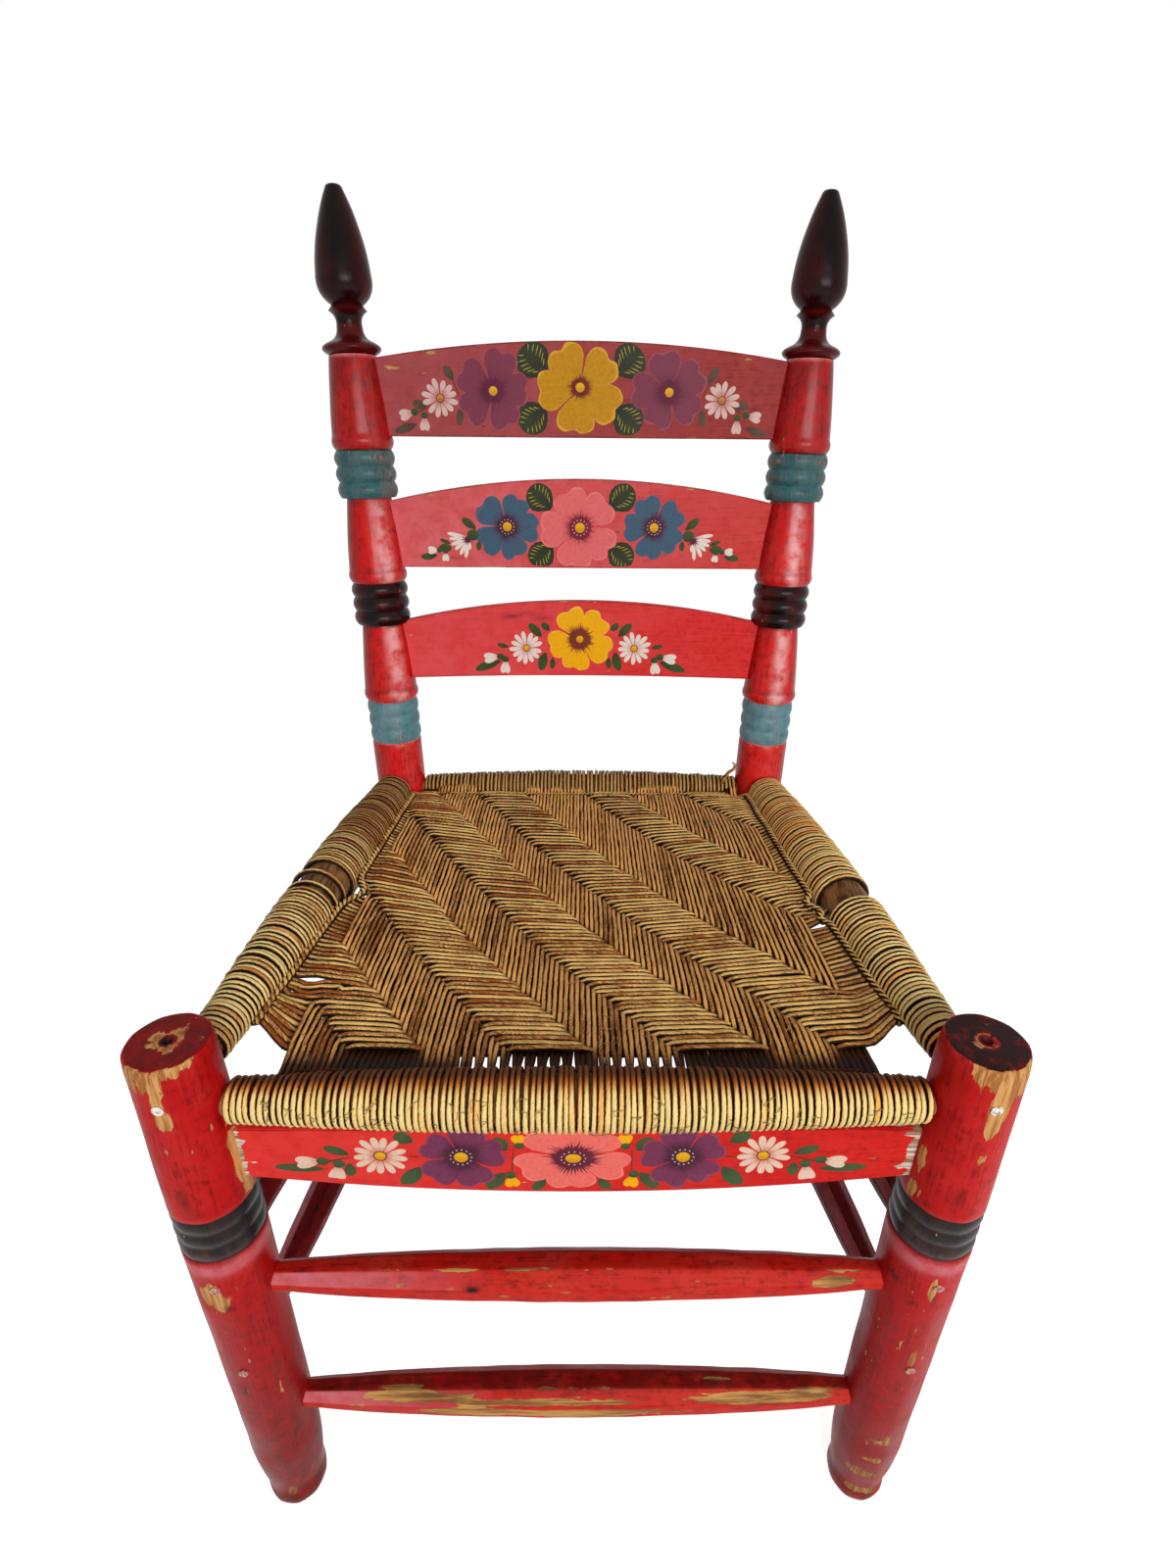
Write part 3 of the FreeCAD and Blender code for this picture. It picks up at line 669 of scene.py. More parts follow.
# %% Rear post outline
POST_FOOT = (161.3, 346.2)
POST_TOP = (182.9, 399.0)
POST_LENGTH = 889.6
POST_RADIUS = 22.2
STACKS = [
    (462.5, 38.5, 22.8, 1.4, 23.2, 69.2),
    (570.2, 35.0, 23.9, 2.2, 23.8, 68.8),
    (674.0, 36.5, 24.3, 2.2, 23.8, 68.0),
]
VASE_TOP = 18.2
COLLAR = 778.5
SEAT_LEVEL = 420.0
SHAFT_TOP = 462.0
DARK_FROM = 640.0
LOW_VASES = (575, 680)
LOW_RINGS = 520

post_stretches = [
    *FOOT_STRETCHES,
    (POST_RADIUS, 120.0, 0.02, 18),
    (POST_RADIUS, 461.1, 0.0, 60),
]
for bottom, height, radius, groove, belly, vase_length in STACKS:
    post_stretches.append((radius - groove, bottom, 0.0, 1))
    post_stretches += ring_stretches(radius, groove, bottom, height, 3)
    vase_foot = bottom + height
    post_stretches.append((belly, vase_foot + 10.5, 0.17, 6))
    post_stretches.append((VASE_TOP, vase_foot + vase_length, 0.008, 18))
post_stretches += [
    (17.0, COLLAR, 0.0, 1),
    (17.0, 788.0, 0.59, 10),
    (9.9, 798.5, -0.175, 7),
    (14.6, 809.2, -0.175, 7),
    (11.8, 812.8, 0.0, 1),
    (20.6, 833.0, 0.16, 9),
    (6.6, 886.6, 0.046, 20),
    (3.4, POST_LENGTH, 0.18, 3),
    (0.0, POST_LENGTH, 0.0, 1),
]
post_points = turned_outline(UNDER_FLOOR, post_stretches)
print("post outline", len(post_points), "points")

# %% Rear posts
def post_paint(height):
    """Which paint a post has at a height: 0 crimson, 1 teal, 2 black, 3 the finial's black."""
    if height > COLLAR:
        return 3
    for index, (bottom, ring_height, *_) in enumerate(STACKS):
        if bottom < height < bottom + ring_height:
            return (1, 2, 1)[index]
    return 0


def post_end(side, height):
    """A point of a post's axis at a height above the floor, in metres."""
    top_height = math.sqrt(POST_LENGTH ** 2 - (POST_TOP[0] - POST_FOOT[0]) ** 2 - (POST_TOP[1] - POST_FOOT[1]) ** 2)
    share = height / top_height
    out = POST_FOOT[0] + (POST_TOP[0] - POST_FOOT[0]) * share
    back = POST_FOOT[1] + (POST_TOP[1] - POST_FOOT[1]) * share + FRONT_Y
    return Vector((side * out, back, height)) * MM


for name, side in (("rear_post_left", -1), ("rear_post_right", 1)):
    post = spun(post_points)
    uneven(post, 0.0003, 0.025)
    add_spots(post, [(-90, 6, 20, 12, 0.8), (-60, 300, 3, 8, 0.6)])
    darker_towards_foot(post, POST_DARKENING_REACH, 0.6)
    worn = post.verts.layers.float["wear"]
    darkened = post.verts.layers.float["dirt_and_shade"]
    pale_layer = post.verts.layers.float["fade_and_sheen"]
    for vert in post.verts:
        height = vert.co.z / MM
        facing = math.degrees(math.atan2(vert.co.y, vert.co.x))
        paint = post_paint(height)
        turned = facing + 90 + 14 * side
        if paint == 0:
            # Painted shade on both sides turned from the view
            deep = 0.8 if height > DARK_FROM else 0.6
            shadow = deep * min(max((-turned - 15) / 60, 0.0), 1.0)
            shadow = max(shadow, deep * 0.8 * min(max((turned - 45) / 40, 0.0), 1.0))
            vert[darkened] = max(vert[darkened], shadow)
        if paint == 0 and height > SEAT_LEVEL:
            # Painted highlight: a mottled pale strip up the side towards the lamp
            lit = (turned - 20) / 17
            bright = 1.15 if height < LOW_VASES[0] else 1.05 if height < LOW_VASES[1] else 0.16
            if height > COLLAR - 8:
                vert[worn] = 0.0
            vert[pale_layer] = (bright if height > SHAFT_TOP else 0.1) * math.exp(-lit * lit)
            # Darker towards the top
            risen = max(0.0, (height - DARK_FROM) / (COLLAR - DARK_FROM))
            vert[darkened] = max(vert[darkened], 0.66 * risen ** 0.8)
        elif paint == 3:
            vert[worn] = 0.0
            rubbed = height < 800 or 808 < height < 813
            vert[pale_layer] = 0.75 if rubbed else 0.4 * min(abs(facing + 90) / 70, 1.0) ** 2
        elif paint == 1:
            # The lower teal rings paler, the upper ones darker
            vert[pale_layer] = 0.5 if height < LOW_RINGS else 0.12
            vert[darkened] = 0.0 if height < LOW_RINGS else 0.3
        if paint in (1, 2):
            ring = min((height - bottom) / ring_height for bottom, ring_height, *_ in STACKS if height > bottom)
            vert[worn] = (0.55 if paint == 1 else 0.3) * math.sin(math.pi * 3 * ring) ** 4
    keep_grain(post)
    for face in post.faces:
        face.material_index = post_paint(face.calc_center_median().z / MM)
    post.transform(axis_turn(post_end(side, 0), post_end(side, 800)))
    on_floor(post)
    sharpened(post, 50)
    paints = [red_post, teal, black_ring, finial_black]
    finish_piece(post, name + "_turned", paints, [name])

# %% [markdown]
# ## Stretchers
# The stretchers are shaved to eight sides and swell towards the middle, and their arrises are worn round. An
# eight-cornered ring is drawn out along the stick, station by station, and scaled on the way. Its long edges are then
# bevelled. A faceted ring keeps the flats that a lathe-turned stick would lose.

# %% Stretcher shape
STRETCHER_END = 16.0
STRETCHER_STEPS = 110
SWELL_SHARES = (0.0, 0.58, 0.88, 1.0, 0.88, 0.58, 0.0)
HOUSED = 3.0
ARRIS_BEVEL = 0.0011


def swell(place):
    """How far a stretcher has swollen at a place from 0 to 1, as a smooth line through the shares."""
    spot = min(max(place, 0.0), 1.0) * (len(SWELL_SHARES) - 1)
    index = min(int(spot), len(SWELL_SHARES) - 2)
    shares = (2 * SWELL_SHARES[0] - SWELL_SHARES[1],) + SWELL_SHARES + (2 * SWELL_SHARES[-1] - SWELL_SHARES[-2],)
    before, low, high, after = shares[index:index + 4]
    part = spot - index
    slope_low = (high - before) / 2
    slope_high = (after - low) / 2
    cubic = 2 * low - 2 * high + slope_low + slope_high
    square = 3 * high - 3 * low - 2 * slope_low - slope_high
    return ((cubic * part + square) * part + slope_low) * part + low


def drawn_out(bm, edges, rise, scale):
    """Extrudes an open ring of edges upwards, scales the new ring and gives its edges."""
    made = bmesh.ops.extrude_edge_only(bm, edges=edges)["geom"]
    verts = [item for item in made if isinstance(item, bmesh.types.BMVert)]
    bmesh.ops.scale(bm, vec=(scale, scale, 1.0), verts=verts)
    bmesh.ops.translate(bm, vec=(0, 0, rise), verts=verts)
    new = set(verts)
    return [item for item in made if isinstance(item, bmesh.types.BMEdge) and set(item.verts) <= new]


def faceted_stick(length, middle_width):
    """An eight-sided swelling stick along Z, with worn arrises."""
    bm = bmesh.new()
    width = STRETCHER_END
    corner = width / 2 / math.cos(math.pi / 8) * MM
    ring_turn = Matrix.Rotation(math.pi / 8, 4, "Z")
    bmesh.ops.create_circle(bm, segments=8, radius=corner, matrix=ring_turn)
    bmesh.ops.subdivide_edges(bm, edges=bm.edges[:], cuts=3)
    edges = bm.edges[:]
    for step in range(1, STRETCHER_STEPS + 1):
        next_width = STRETCHER_END + (middle_width - STRETCHER_END) * swell(step / STRETCHER_STEPS)
        edges = drawn_out(bm, edges, length / STRETCHER_STEPS, next_width / width)
        width = next_width
    bmesh.ops.holes_fill(bm, edges=bm.edges[:], sides=0)
    bm.normal_update()
    arrises = [edge for edge in bm.edges if edge.calc_face_angle(0.0) > 0.5
               and abs(edge.verts[0].co.z - edge.verts[1].co.z) > length / STRETCHER_STEPS / 2]
    bmesh.ops.bevel(bm, geom=arrises, offset=ARRIS_BEVEL, segments=2, profile=0.5, affect="EDGES", material=-1)
    return bm


def arris_wear(bm, most, top_shade):
    """High wear at the eight arrises, falling to nothing at the middle of each flat, with painted shade on one facet
    and a painted sheen on another.
    """
    worn = bm.verts.layers.float.new("wear")
    darkened = bm.verts.layers.float.new("dirt_and_shade")
    pale_layer = bm.verts.layers.float.new("fade_and_sheen")
    for vert in bm.verts:
        facing = math.degrees(math.atan2(vert.co.y, vert.co.x))
        away = abs((facing % 45) - 22.5) / 22.5
        vert[worn] = most * max(0.0, 1.0 - away * 1.6)
        # Painted shade on the facet at 180, the top on the front stretchers
        if abs(facing) > 155:
            vert[darkened] = top_shade
        # Painted sheen: the facet between front and top pales towards the stick's start, the left end on the front
        # ones
        if -157 < facing < -112:
            vert[pale_layer] = 1.5 * max(0.0, 1 - vert.co.z / MM / 140)


print("swell at a quarter", round(swell(0.25), 3))

# %% [markdown]
# The front stretchers take the knocks of feet: the lower one is rubbed to the wood in long patches. The side and rear
# stretchers get a darker, browner red. Spots are listed as on the legs. On a front stretcher, facing -90 is the
# front,
# 180 the top and 0 the underside.

# %% Stretchers
LEFT = ("front_leg_left", "rear_post_left")
RIGHT = ("front_leg_right", "rear_post_right")
FRONT = ("front_leg_left", "front_leg_right")
REAR = ("rear_post_left", "rear_post_right")
STRETCHERS = {
    "stretcher_front_upper": (FRONT, 249.5, 28.4, 0.5),
    "stretcher_front_lower": (FRONT, 118.0, 28.4, 0.6),
    "stretcher_left_upper": (LEFT, 274.0, 25.0, 0.45),
    "stretcher_left_lower": (LEFT, 188.0, 25.0, 0.5),
    "stretcher_right_upper": (RIGHT, 274.0, 25.0, 0.45),
    "stretcher_right_lower": (RIGHT, 188.0, 25.0, 0.5),
    "stretcher_rear": (REAR, 231.0, 25.0, 0.4),
}
STRETCHER_SPOTS = {
    "stretcher_front_upper": [
        (-157, 118, 1.4, 24, 1.2), (-157, 154, 1.3, 16, 1.1), (-122, 82, 2, 9, 1.2), (-122, 174, 2, 6, 1.2),
        (-120, 197, 1.6, 4, 1.2), (-108, 184, 1.2, 6, 1.1), (-116, 350, 4, 18, 1.25), (-126, 148, 1.2, 6, 1.0),
        (-86, 96, 2, 8, 0.9),
    ],
    "stretcher_front_lower": [
        (-138, 72, 4.6, 46, 1.6), (-126, 175, 2.8, 74, 1.5), (-92, 162, 5, 118, 1.7), (-132, 318, 5, 52, 1.6),
        (-165, 67, 1.4, 22, 1.3), (-176, 242, 1, 6, 1.2), (-178, 293, 1.2, 20, 1.2), (-112, 40, 3, 16, 1.0),
        (-112, 120, 2, 12, 1.2),
    ],
}
STRETCHER_SCUFFS = {
    "stretcher_front_upper": [
        (-112, 127, 2, 4.5, 2.0), (-118, 356, 3, 10, 0.6),
    ],
    "stretcher_front_lower": [
        (-140, 92, 5, 26, 0.4), (-126, 330, 4, 30, 0.4), (-172, 190, 6, 50, 0.8),
    ],
}
BROWN_RED = tone(112, 14, 18)
red_darker = paint_material("red_darker_paint", BROWN_RED, tone(60, 10, 10), tone(136, 34, 36), 0.42, chips=0.4)
red_stick = paint_material("red_stick_paint", tone(204, 28, 16), tone(128, 10, 8), tone(208, 58, 44), 0.4, chips=0.4,
                           wood=tone(212, 158, 90), late=tone(140, 92, 52))


def upright_axis(name, height):
    """The point of an upright's axis at a height, in metres, and its half thickness there in millimetres."""
    side = -1 if name.endswith("left") else 1
    if name.startswith("rear"):
        return post_end(side, height), POST_RADIUS
    out = LEG_FOOT_X + (LEG_TOP_X - LEG_FOOT_X) * height / LEG_HEIGHT
    risen = (height - LEG_LOW_HEIGHT) / (BAND_BOTTOM - LEG_LOW_HEIGHT)
    swollen = LEG_LOW_RADIUS + (LEG_RADIUS - LEG_LOW_RADIUS) * risen
    return Vector((side * out, FRONT_Y, height)) * MM, min(swollen, LEG_RADIUS)


for name, (pair, height, middle_width, most_wear) in STRETCHERS.items():
    (start, start_radius), (end, end_radius) = [upright_axis(upright, height) for upright in pair]
    way = (end - start).normalized()
    first = start + way * (start_radius - HOUSED) * MM
    last = end - way * (end_radius - HOUSED) * MM
    stick = faceted_stick((last - first).length, middle_width)
    arris_wear(stick, most_wear, 0.16 if name == "stretcher_front_upper" else 0.8)
    add_spots(stick, STRETCHER_SPOTS.get(name, []))
    add_spots(stick, STRETCHER_SCUFFS.get(name, []), "dirt_and_shade")
    uneven(stick, 0.0004, 0.02)
    keep_grain(stick)
    stick.transform(axis_turn(first, last))
    sharpened(stick, 30)
    paint = red_stick if pair is FRONT else red_darker
    finish_piece(stick, name + "_shaved", [paint], [name])

# %% [markdown]
# ## Slats and apron
# The slats are thin boards, arched on top, let into the vases of the posts, and lie in the posts' leaning plane. The
# apron hangs straight under the front rail, with a bowed lower edge. Each starts as a flat grid whose points are
# moved to the board's outline, then it is drawn out to its thickness and its rim is bevelled. A grid, rather than
# one large face, gives the worn edges points to sit on. Every point keeps its place within the board as its grain,
# with the length of the board along the wood.

# %% Board shape
BOARD_WAVE = 0.14
BOARD_COLUMNS = 130
BOARD_ROWS = 26
RIM = 1.3
RIM_WEAR_WIDTH = 3.2


def arch(half_length, rise):
    """The height of a shallow arc of that rise above its ends, at a place from the middle."""
    if not rise:
        return lambda x: 0.0
    radius = (half_length ** 2 + rise ** 2) / (2 * abs(rise))
    return lambda x: math.copysign(math.sqrt(radius ** 2 - x ** 2) - (radius - abs(rise)), rise)


def board_wave(x, y, z):
    """The slight unevenness of a planed face."""
    return noise.noise(Vector((x / 60, y / 60, z / 30))) * BOARD_WAVE


def make_board(low_half, high_half, bottom, end_height, rise, foot_rise, thickness, front):
    """A board in the XZ plane, arched above and below, its face at a place along Y."""
    over = arch(high_half, rise)
    under = arch(low_half, foot_rise)
    bm = bmesh.new()
    bmesh.ops.create_grid(bm, x_segments=BOARD_COLUMNS, y_segments=BOARD_ROWS, size=1.0)
    for vert in bm.verts:
        up = 0.5 - 0.5 * math.cos(math.pi * (vert.co.y + 1) / 2)
        x = vert.co.x * (low_half + (high_half - low_half) * up)
        low = bottom + under(x)
        high = bottom + end_height + over(x)
        vert.co = Vector((x, front, low + (high - low) * up)) * MM
    drawn = bmesh.ops.extrude_face_region(bm, geom=bm.faces[:])["geom"]
    back = [item for item in drawn if isinstance(item, bmesh.types.BMVert)]
    bmesh.ops.translate(bm, vec=(0, thickness * MM, 0), verts=back)
    bmesh.ops.recalc_face_normals(bm, faces=bm.faces)
    rim = [edge for edge in bm.edges if edge.calc_face_angle(0.0) > 1.0]
    bmesh.ops.bevel(bm, geom=rim, offset=RIM * MM, segments=3, profile=0.5, affect="EDGES", material=-1)
    worn = bm.verts.layers.float.new("wear")
    bm.verts.layers.float.new("dirt_and_shade")
    pale_layer = bm.verts.layers.float.new("fade_and_sheen")
    kept = bm.verts.layers.float_vector.new("grain")
    for vert in bm.verts:
        x, y, z = vert.co / MM
        vert[pale_layer] = min(max(0.5 - x / 260 + 0.3 * noise.noise(Vector((x / 50, 9, z / 20))), 0.0), 1.0)
        gap = min(z - bottom - under(x), bottom + end_height + over(x) - z)
        vert[worn] = 0.62 * max(0.0, 1.0 - gap / RIM_WEAR_WIDTH)
        vert[kept] = (vert.co.y, vert.co.z, vert.co.x)
        vert.co.y += board_wave(x, front, z) * MM
    return bm


print("board helper ready")

# %% Slats and apron
TENON_STOP = 9.0
SLAT_THICKNESS = 9.0
POST_TIP_Z = 887.5
SLAT_LEAN = math.atan2(POST_TOP[1] - POST_FOOT[1], POST_TIP_Z)
SLATS = {
    "slat_bottom": (520.1, 49.7, 20.2, 3.0),
    "slat_middle": (617.9, 51.9, 20.0, 0.0),
    "slat_top": (720.8, 55.0, 14.4, 0.0),
}
BOARD_SPOTS = {
    "slat_top": [
        (-148, 770, 10, 2.6, 1.1), (-118, 781, 6, 2, 1.0), (-42, 791, 6, 1.6, 1.0), (66, 790, 7, 2.6, 1.15),
        (130, 777, 6, 3, 0.9), (10, 793, 16, 1.4, 0.9),
    ],
    "slat_middle": [
        (-126, 676, 8, 2, 0.9), (90, 683, 7, 2, 0.9), (-141, 650, 1.8, 1.8, 1.3), (145, 641, 1.6, 1.8, 1.2),
    ],
    "slat_bottom": [
        (80, 575, 6, 3, 0.7), (-101, 566, 1.8, 1.8, 1.3), (-74, 561, 1.8, 1.8, 1.2),
        (-126, 529, 1.6, 1.6, 1.2), (-150, 559, 1.6, 1.6, 1.1),
    ],
    "front_apron": [
        (-190, 366, 2.2, 30, 1.3), (-186, 375, 1.8, 2.2, 1.35), (-184, 358, 4.5, 1.6, 1.3),
        (189, 364, 3.6, 30, 1.6), (186, 380, 6, 3.4, 1.4), (184, 353, 6, 4, 1.3),
    ],
}
BOARD_SCUFFS = {
    "slat_bottom": [
        (-62, 577, 9, 1.6, 0.9), (-44, 579, 10, 1.3, 0.7), (-34, 575, 8, 1.2, 0.6), (12, 581, 20, 1.2, 0.3),
    ],
    "slat_middle": [
        (-108, 626, 8, 1.2, 0.5),
    ],
    "slat_top": [
        (-84, 762, 12, 1.2, 0.5),
    ],
}
SLAT_PAINTS = {
    "slat_bottom": paint_material("bottom_board", tone(224, 48, 46), tone(190, 30, 32), tone(226, 66, 64), 0.4, 0.35,
                                  fade_and_sheen=tone(238, 86, 90)),
    "slat_middle": paint_material("middle_board", tone(212, 62, 58), tone(186, 46, 46), tone(218, 80, 78), 0.42, 0.35,
                                  fade_and_sheen=tone(230, 112, 118)),
    "slat_top": paint_material("top_board", tone(160, 56, 54), tone(134, 42, 42), tone(168, 66, 64), 0.44, 0.35,
                               fade_and_sheen=tone(176, 84, 88)),
    "front_apron": paint_material("apron_board", tone(208, 24, 18), tone(170, 14, 14), tone(216, 40, 34), 0.36, 0.45,
                                  fade_and_sheen=tone(236, 60, 54), wood=tone(232, 220, 206), late=tone(150, 104, 70)),
}


def slat_frame():
    """Sets a board made upright into the leaning plane of the posts."""
    return Matrix.Translation((0, (POST_FOOT[1] + FRONT_Y) * MM, 0)) @ Matrix.Rotation(-SLAT_LEAN, 4, "X")


def board_spots(bm, spots, layer="wear"):
    """Raises wear or dirt around spots given in millimetres on the board's face."""
    worn = bm.verts.layers.float[layer]
    for vert in bm.verts:
        for x, z, half_width, half_height, strength in spots:
            across = (vert.co.x / MM - x) / half_width
            up = (vert.co.z / MM - z) / half_height
            vert[worn] = max(vert[worn], strength * math.exp(-(across * across + up * up)))


for name, (bottom, end_height, rise, foot_rise) in SLATS.items():
    halves = []
    for height in (bottom, bottom + end_height):
        out = POST_FOOT[0] + (POST_TOP[0] - POST_FOOT[0]) * height / POST_LENGTH
        halves.append(out - TENON_STOP)
    front = -SLAT_THICKNESS / 2
    slat = make_board(*halves, bottom, end_height, rise, foot_rise, SLAT_THICKNESS, front)
    board_spots(slat, BOARD_SPOTS[name])
    board_spots(slat, BOARD_SCUFFS[name], "dirt_and_shade")
    slat.transform(slat_frame())
    sharpened(slat, 40)
    finish_piece(slat, name + "_board", [SLAT_PAINTS[name]], [name])

APRON_TOP = 383.4
APRON_END = 34.4
APRON_MIDDLE = 50.9
APRON_HALF = 205.66
APRON_FRONT = FRONT_Y - 4.0
APRON_THICKNESS = 12.0
apron = make_board(APRON_HALF, APRON_HALF, APRON_TOP - APRON_END, APRON_END, 0.0, APRON_END - APRON_MIDDLE,
                   APRON_THICKNESS, APRON_FRONT)
board_spots(apron, BOARD_SPOTS["front_apron"])
sharpened(apron, 40)
finish_piece(apron, "front_apron_board", [SLAT_PAINTS["front_apron"]], ["front_apron"])

# %% [markdown]
# ## Painted flowers
# Sprays of flowers are painted freehand on each board, with a loaded brush: every petal and leaf is one stroke, a
# little proud of the board. Each stroke here is an outline that is filled and drawn out by a fraction of a
# millimetre. Every stroke keeps its own direction, so the bristle marks run along it and the colour turns from root
# to tip.

# %% Flower paints
BRUSH_GLOSS = 0.42
STREAKS = 0.35


def flower_paint(name, tip, root, streak, turn):
    """Paint of a brush stroke, from its root colour to its tip colour, with bristle marks."""
    material, tree, shader = new_material(name, tip, Specular_IOR_Level=0.14)
    kept = add_node(tree, "SeparateXYZ")
    feed(tree, kept.inputs[0], attribute(tree, "stroke", "Vector"))
    across, along, seed = kept.outputs
    lines = add_node(tree, "CombineXYZ")
    feed(tree, lines.inputs[0], calculate(tree, "MULTIPLY", across, 14.0))
    feed(tree, lines.inputs[1], calculate(tree, "MULTIPLY", along, 1.6))
    feed(tree, lines.inputs[2], seed)
    bristles = cloudy(tree, lines.outputs[0], 1.0, 3.0, 0.65)
    reach = calculate(tree, "MULTIPLY_ADD", calculate(tree, "SUBTRACT", bristles, 0.5), 0.55, along)
    colour = mixed(tree, between(tree, reach, turn[0], turn[1]), root, tip)
    marks = between(tree, bristles, 0.42, 0.72, 0.0, STREAKS)
    colour = mixed(tree, marks, colour, streak)
    place = add_node(tree, "TexCoord").outputs["Object"]
    mottle = between(tree, cloudy(tree, place, 420.0, 4.0, 0.7), 0.35, 0.75, 0.0, 0.3)
    colour = mixed(tree, mottle, colour, root)
    pinholes = between(tree, cloudy(tree, place, 900.0, 2.0), 0.69, 0.73)
    feed(tree, shader["Base Color"], mixed(tree, pinholes, colour, tone(170, 40, 42)))
    feed(tree, shader["Roughness"], between(tree, bristles, 0.3, 0.7, BRUSH_GLOSS, BRUSH_GLOSS + 0.16))
    feed(tree, shader["Normal"], bumped(tree, bristles, 0.00025, 0.7))
    return material


EDGE_TURN = (0.0, 0.1)
PLAIN_TURN = (0.2, 0.8)
LEAF_TURN = (0.1, 0.7)
PAINTS = {
    "ochre": ((208, 148, 0), (150, 76, 6), (168, 102, 2), (0.05, 0.3)),
    "ochre_edge": ((226, 170, 48), (200, 120, 30), (210, 150, 40), EDGE_TURN),
    "ochre_ray": ((128, 52, 22), (110, 34, 22), (96, 24, 20), PLAIN_TURN),
    "mauve": ((128, 56, 76), (104, 34, 58), (142, 66, 82), (0.1, 0.6)),
    "mauve_edge": ((160, 78, 92), (140, 56, 72), (150, 66, 80), EDGE_TURN),
    "mauve_ray": ((104, 34, 62), (92, 26, 56), (84, 22, 48), PLAIN_TURN),
    "salmon": ((236, 112, 112), (206, 66, 72), (216, 82, 86), (0.1, 0.5)),
    "salmon_edge": ((240, 128, 120), (222, 96, 94), (230, 110, 104), EDGE_TURN),
    "salmon_ray": ((140, 36, 58), (120, 28, 50), (112, 24, 46), PLAIN_TURN),
    "blue": ((64, 96, 118), (72, 50, 78), (54, 78, 98), (0.1, 0.55)),
    "blue_edge": ((84, 98, 124), (90, 70, 96), (72, 84, 110), EDGE_TURN),
    "blue_ray": ((78, 32, 56), (70, 26, 50), (62, 22, 44), PLAIN_TURN),
    "yellow": ((252, 184, 0), (226, 128, 4), (240, 160, 2), (0.05, 0.35)),
    "yellow_edge": ((250, 196, 60), (240, 160, 30), (246, 180, 40), EDGE_TURN),
    "yellow_ray": ((136, 62, 30), (122, 48, 30), (110, 40, 26), PLAIN_TURN),
    "pink": ((244, 116, 104), (210, 60, 64), (228, 90, 82), (0.1, 0.45)),
    "pink_edge": ((248, 132, 116), (232, 98, 90), (240, 118, 102), EDGE_TURN),
    "pink_ray": ((96, 18, 44), (84, 12, 38), (110, 26, 50), PLAIN_TURN),
    "plum": ((118, 46, 80), (68, 12, 40), (88, 24, 56), (0.25, 0.62)),
    "plum_edge": ((150, 62, 84), (124, 40, 66), (136, 50, 74), EDGE_TURN),
    "plum_ray": ((70, 16, 44), (60, 12, 38), (54, 10, 34), PLAIN_TURN),
    "rose_white": ((226, 196, 184), (206, 140, 136), (206, 154, 150), (0.15, 0.6)),
    "white": ((242, 230, 218), (226, 186, 176), (230, 204, 192), (0.1, 0.5)),
    "cream": ((240, 208, 184), (214, 146, 126), (222, 176, 152), (0.1, 0.5)),
    "tan": ((206, 146, 72), (170, 104, 48), (180, 120, 60), PLAIN_TURN),
    "button": ((238, 184, 26), (220, 150, 16), (226, 160, 20), PLAIN_TURN),
    "leaf_dark": ((44, 52, 30), (30, 34, 22), (54, 60, 38), LEAF_TURN),
    "leaf_dull": ((92, 72, 58), (74, 56, 46), (84, 64, 54), LEAF_TURN),
    "leaf_green": ((58, 78, 36), (44, 58, 28), (70, 88, 44), LEAF_TURN),
    "vein": ((178, 162, 50), (140, 130, 40), (150, 140, 44), LEAF_TURN),
    "stalk": ((128, 44, 34), (110, 36, 30), (120, 44, 34), PLAIN_TURN),
}
palette = {name: flower_paint(name + "_paint", *[tone(*colour) for colour in colours], turn)
           for name, (*colours, turn) in PAINTS.items()}
SHADES = list(palette)
print("flower paints", len(palette))

# %% Strokes
PAINT_FOOT = 0.3
PAINT_COAT = 0.08
PAINT_STEP = 0.05
hand = random.Random(5)


def new_strokes():
    """An empty mesh that keeps, for each point, its place within its own stroke."""
    bm = bmesh.new()
    bm.verts.layers.float_vector.new("stroke")
    return bm


def lay_stroke(bm, outline, root, tip, layer, paint):
    """One closed stroke of paint on a board, from its outline and its own root and tip."""
    ring = bmesh.ops.create_circle(bm, cap_ends=True, segments=len(outline), radius=1.0)["verts"]
    for vert, (x, z) in zip(ring, outline):
        vert.co = (x, PAINT_FOOT, z)
    skin = list({face for vert in ring for face in vert.link_faces})
    drawn = bmesh.ops.extrude_face_region(bm, geom=skin)["geom"]
    lifted = [item for item in drawn if isinstance(item, bmesh.types.BMVert)]
    bmesh.ops.translate(bm, vec=(0, -PAINT_FOOT - PAINT_COAT - PAINT_STEP * layer, 0), verts=lifted)
    front = [item for item in drawn if isinstance(item, bmesh.types.BMFace)]
    lifted += bmesh.ops.poke(bm, faces=front)["verts"]
    kept = bm.verts.layers.float_vector["stroke"]
    way = Vector(tip) - Vector(root)
    length = max(way.length, 0.001)
    way = way / length
    seed = hand.uniform(0, 90)
    faces = set()
    for vert in ring + lifted:
        apart = Vector((vert.co.x, vert.co.z)) - Vector(root)
        vert[kept] = ((apart.x * way.y - apart.y * way.x) / 10, apart.dot(way) / length, seed)
        faces.update(vert.link_faces)
    for face in faces:
        face.material_index = SHADES.index(paint)


def turned_point(x, z, angle, reach, squash=1.0):
    """A point at an angle and a reach from a middle, on a circle or a squashed one."""
    return (x + math.cos(angle) * reach, z + math.sin(angle) * reach * squash)


